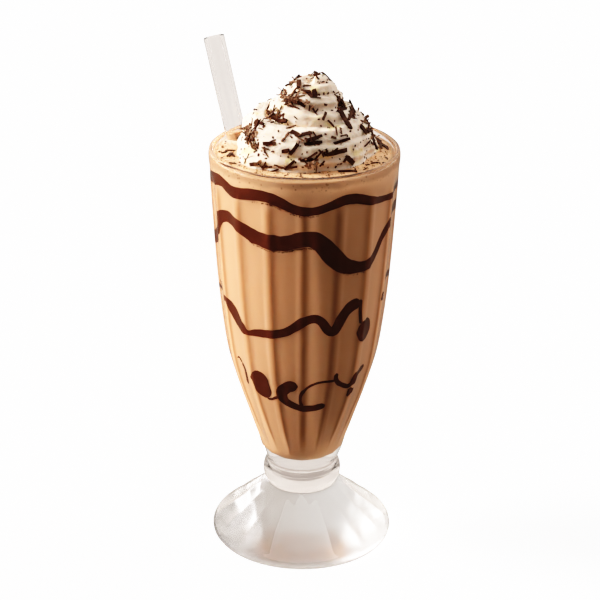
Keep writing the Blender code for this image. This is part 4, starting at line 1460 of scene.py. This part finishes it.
class MILKSHAKE_OT_stage(bpy.types.Operator):
    """Make the floor, the lights and the camera"""

    bl_idname = "milkshake.stage"
    bl_label = "Stage"

    def light(self, name, strength, around, height, spread, colour, mirrored):
        """Add a soft distant light from an angle round the front and a height, in degrees."""
        data = bpy.data.lights.new(name, "SUN")
        data.energy = strength
        data.angle = math.radians(spread)
        data.color = colour
        obj = bpy.data.objects.new(name, data)
        turn, rise = from_front(around), math.radians(height)
        towards = Vector((math.cos(turn) * math.cos(rise), math.sin(turn) * math.cos(rise),
                          math.sin(rise)))
        obj.rotation_euler = towards.to_track_quat("Z", "Y").to_euler()
        obj.visible_glossy = mirrored
        bpy.context.scene.collection.objects.link(obj)

    def camera(self, scene):
        """Look at the glass from where the photo does."""
        data = bpy.data.cameras.new("camera")
        data.sensor_width = CAMERA_SENSOR
        data.lens = CAMERA_LENS
        data.clip_start = 0.01
        camera = bpy.data.objects.new("camera", data)
        turn = (Matrix.Rotation(math.pi / 2.0 - CAMERA_PITCH, 4, "X")
                @ Matrix.Rotation(CAMERA_ROLL, 4, "Z"))
        camera.matrix_world = Matrix.Translation(Vector(CAMERA_PLACE) * MM) @ turn
        scene.collection.objects.link(camera)
        scene.camera = camera

    def tones(self, view):
        """Give the picture a camera's tone curve, which deepens shade and softens highlights."""
        view.view_transform = "Standard"
        view.use_curve_mapping = True
        mapping = view.curve_mapping
        mapping.white_level = (TONE_WHITE,) * 3
        points = mapping.curves[3].points
        points[0].location = (0.0, 0.0)
        points[1].location = (1.0, 1.0)
        for light, tone in TONES:
            points.new(light / TONE_WHITE, tone)
        mapping.update()

    def world(self, scene, strength):
        """Surround the object with white, which lights dull surfaces only a little."""
        world = bpy.data.worlds.new("surround")
        scene.world = world
        world.use_nodes = True
        sky = Nodes(world.node_tree)
        path = sky.add("ShaderNodeLightPath")
        right, back, _ = sky.split(sky.add("ShaderNodeTexCoord").outputs["Generated"])
        sides = sky.mix(right.between(*ROOM_SIDES), ROOM_LEFT, ROOM_RIGHT)
        room = sky.mix(back.between(*ROOM_BACK), ROOM_FRONT, sides)
        seen = sky.mix(path.outputs["Is Camera Ray"], room, WHITE)
        bright = sky.add("ShaderNodeBackground", inputs={"Color": seen})
        dim = sky.add("ShaderNodeBackground",
                      inputs={"Color": SURROUND_COLOUR, "Strength": strength})
        light = sky.mix_shaders(path.outputs["Diffuse Depth"], bright.outputs[0], dim.outputs[0])
        sky.set(world.node_tree.nodes["World Output"].inputs["Surface"], light)

    def floor(self, colour):
        """Make a wide pale floor, which throws only a little warm light back."""
        finish = Finish("pale_floor", Roughness=0.9, Specular_IOR_Level=0.1)
        path = finish.add("ShaderNodeLightPath")
        thrown = Sum(finish, path.outputs["Diffuse Depth"]) + path.outputs["Is Reflection Ray"]
        pale = finish.mix(finish.cloud(3.0, 2.0) * 0.1, colour, FLOOR_CLOUDS)
        through = finish.mix(path.outputs["Is Camera Ray"], FLOOR_THROUGH_GLASS, pale)
        finish.colour(finish.mix(thrown.between(0.0, 1.0), through, FLOOR_THROWN))
        glow = finish.add("ShaderNodeEmission", inputs={"Color": WHITE, "Strength": FLOOR_GLOW})
        share = Sum(finish, path.outputs["Is Camera Ray"]) * FLOOR_GLOW_SHARE
        finish.set(finish.output.inputs["Surface"],
                   finish.mix_shaders(share, finish.shader.outputs[0], glow.outputs[0]))
        corners = [(x * FLOOR_SIZE, y * FLOOR_SIZE, FLOOR_LEVEL)
                   for x, y in ((-1, -1), (1, -1), (1, 1), (-1, 1))]
        new_object("floor", corners, [(0, 1, 2, 3)], [finish.material])

    def execute(self, context):
        settings = context.scene.milkshake_stage
        scene = context.scene
        self.floor(settings.floor)
        self.world(scene, settings.surround)
        for name, *rest in LIGHTS:
            self.light(name, getattr(settings, name), *rest)
        self.camera(scene)
        self.tones(scene.view_settings)
        return {"FINISHED"}


OPERATORS = (MILKSHAKE_OT_glass, MILKSHAKE_OT_drink, MILKSHAKE_OT_syrup, MILKSHAKE_OT_straw,
             MILKSHAKE_OT_cream, MILKSHAKE_OT_shavings, MILKSHAKE_OT_stage)
SETTINGS = (("milkshake_glass", GlassSettings), ("milkshake_drink", DrinkSettings),
            ("milkshake_cream", CreamSettings), ("milkshake_shavings", ShavingSettings),
            ("milkshake_stage", StageSettings))


class MILKSHAKE_PT_panel(bpy.types.Panel):
    """Lists the pieces of the milkshake and their settings"""

    bl_idname = "MILKSHAKE_PT_panel"
    bl_label = "Coffee Milkshake"
    bl_space_type = "VIEW_3D"
    bl_region_type = "UI"
    bl_category = "Milkshake"

    def draw(self, context):
        for name, group in SETTINGS:
            box = self.layout.box()
            for setting in group.__annotations__:
                box.prop(getattr(context.scene, name), setting)
        for operator in OPERATORS:
            self.layout.operator(operator.bl_idname)


def register():
    """Register every class and hang the settings on the scene."""
    for name, group in SETTINGS:
        bpy.utils.register_class(group)
        setattr(bpy.types.Scene, name, PointerProperty(type=group))
    for item in (*OPERATORS, MILKSHAKE_PT_panel):
        bpy.utils.register_class(item)


def unregister():
    """Undo register."""
    for item in (MILKSHAKE_PT_panel, *reversed(OPERATORS)):
        bpy.utils.unregister_class(item)
    for name, group in reversed(SETTINGS):
        delattr(bpy.types.Scene, name)
        bpy.utils.unregister_class(group)


def main():
    """Make every piece."""
    register()
    bpy.ops.milkshake.glass()
    bpy.ops.milkshake.drink()
    bpy.ops.milkshake.syrup()
    bpy.ops.milkshake.straw()
    bpy.ops.milkshake.cream()
    bpy.ops.milkshake.shavings()
    bpy.ops.milkshake.stage()


if __name__ == "__main__":
    main()
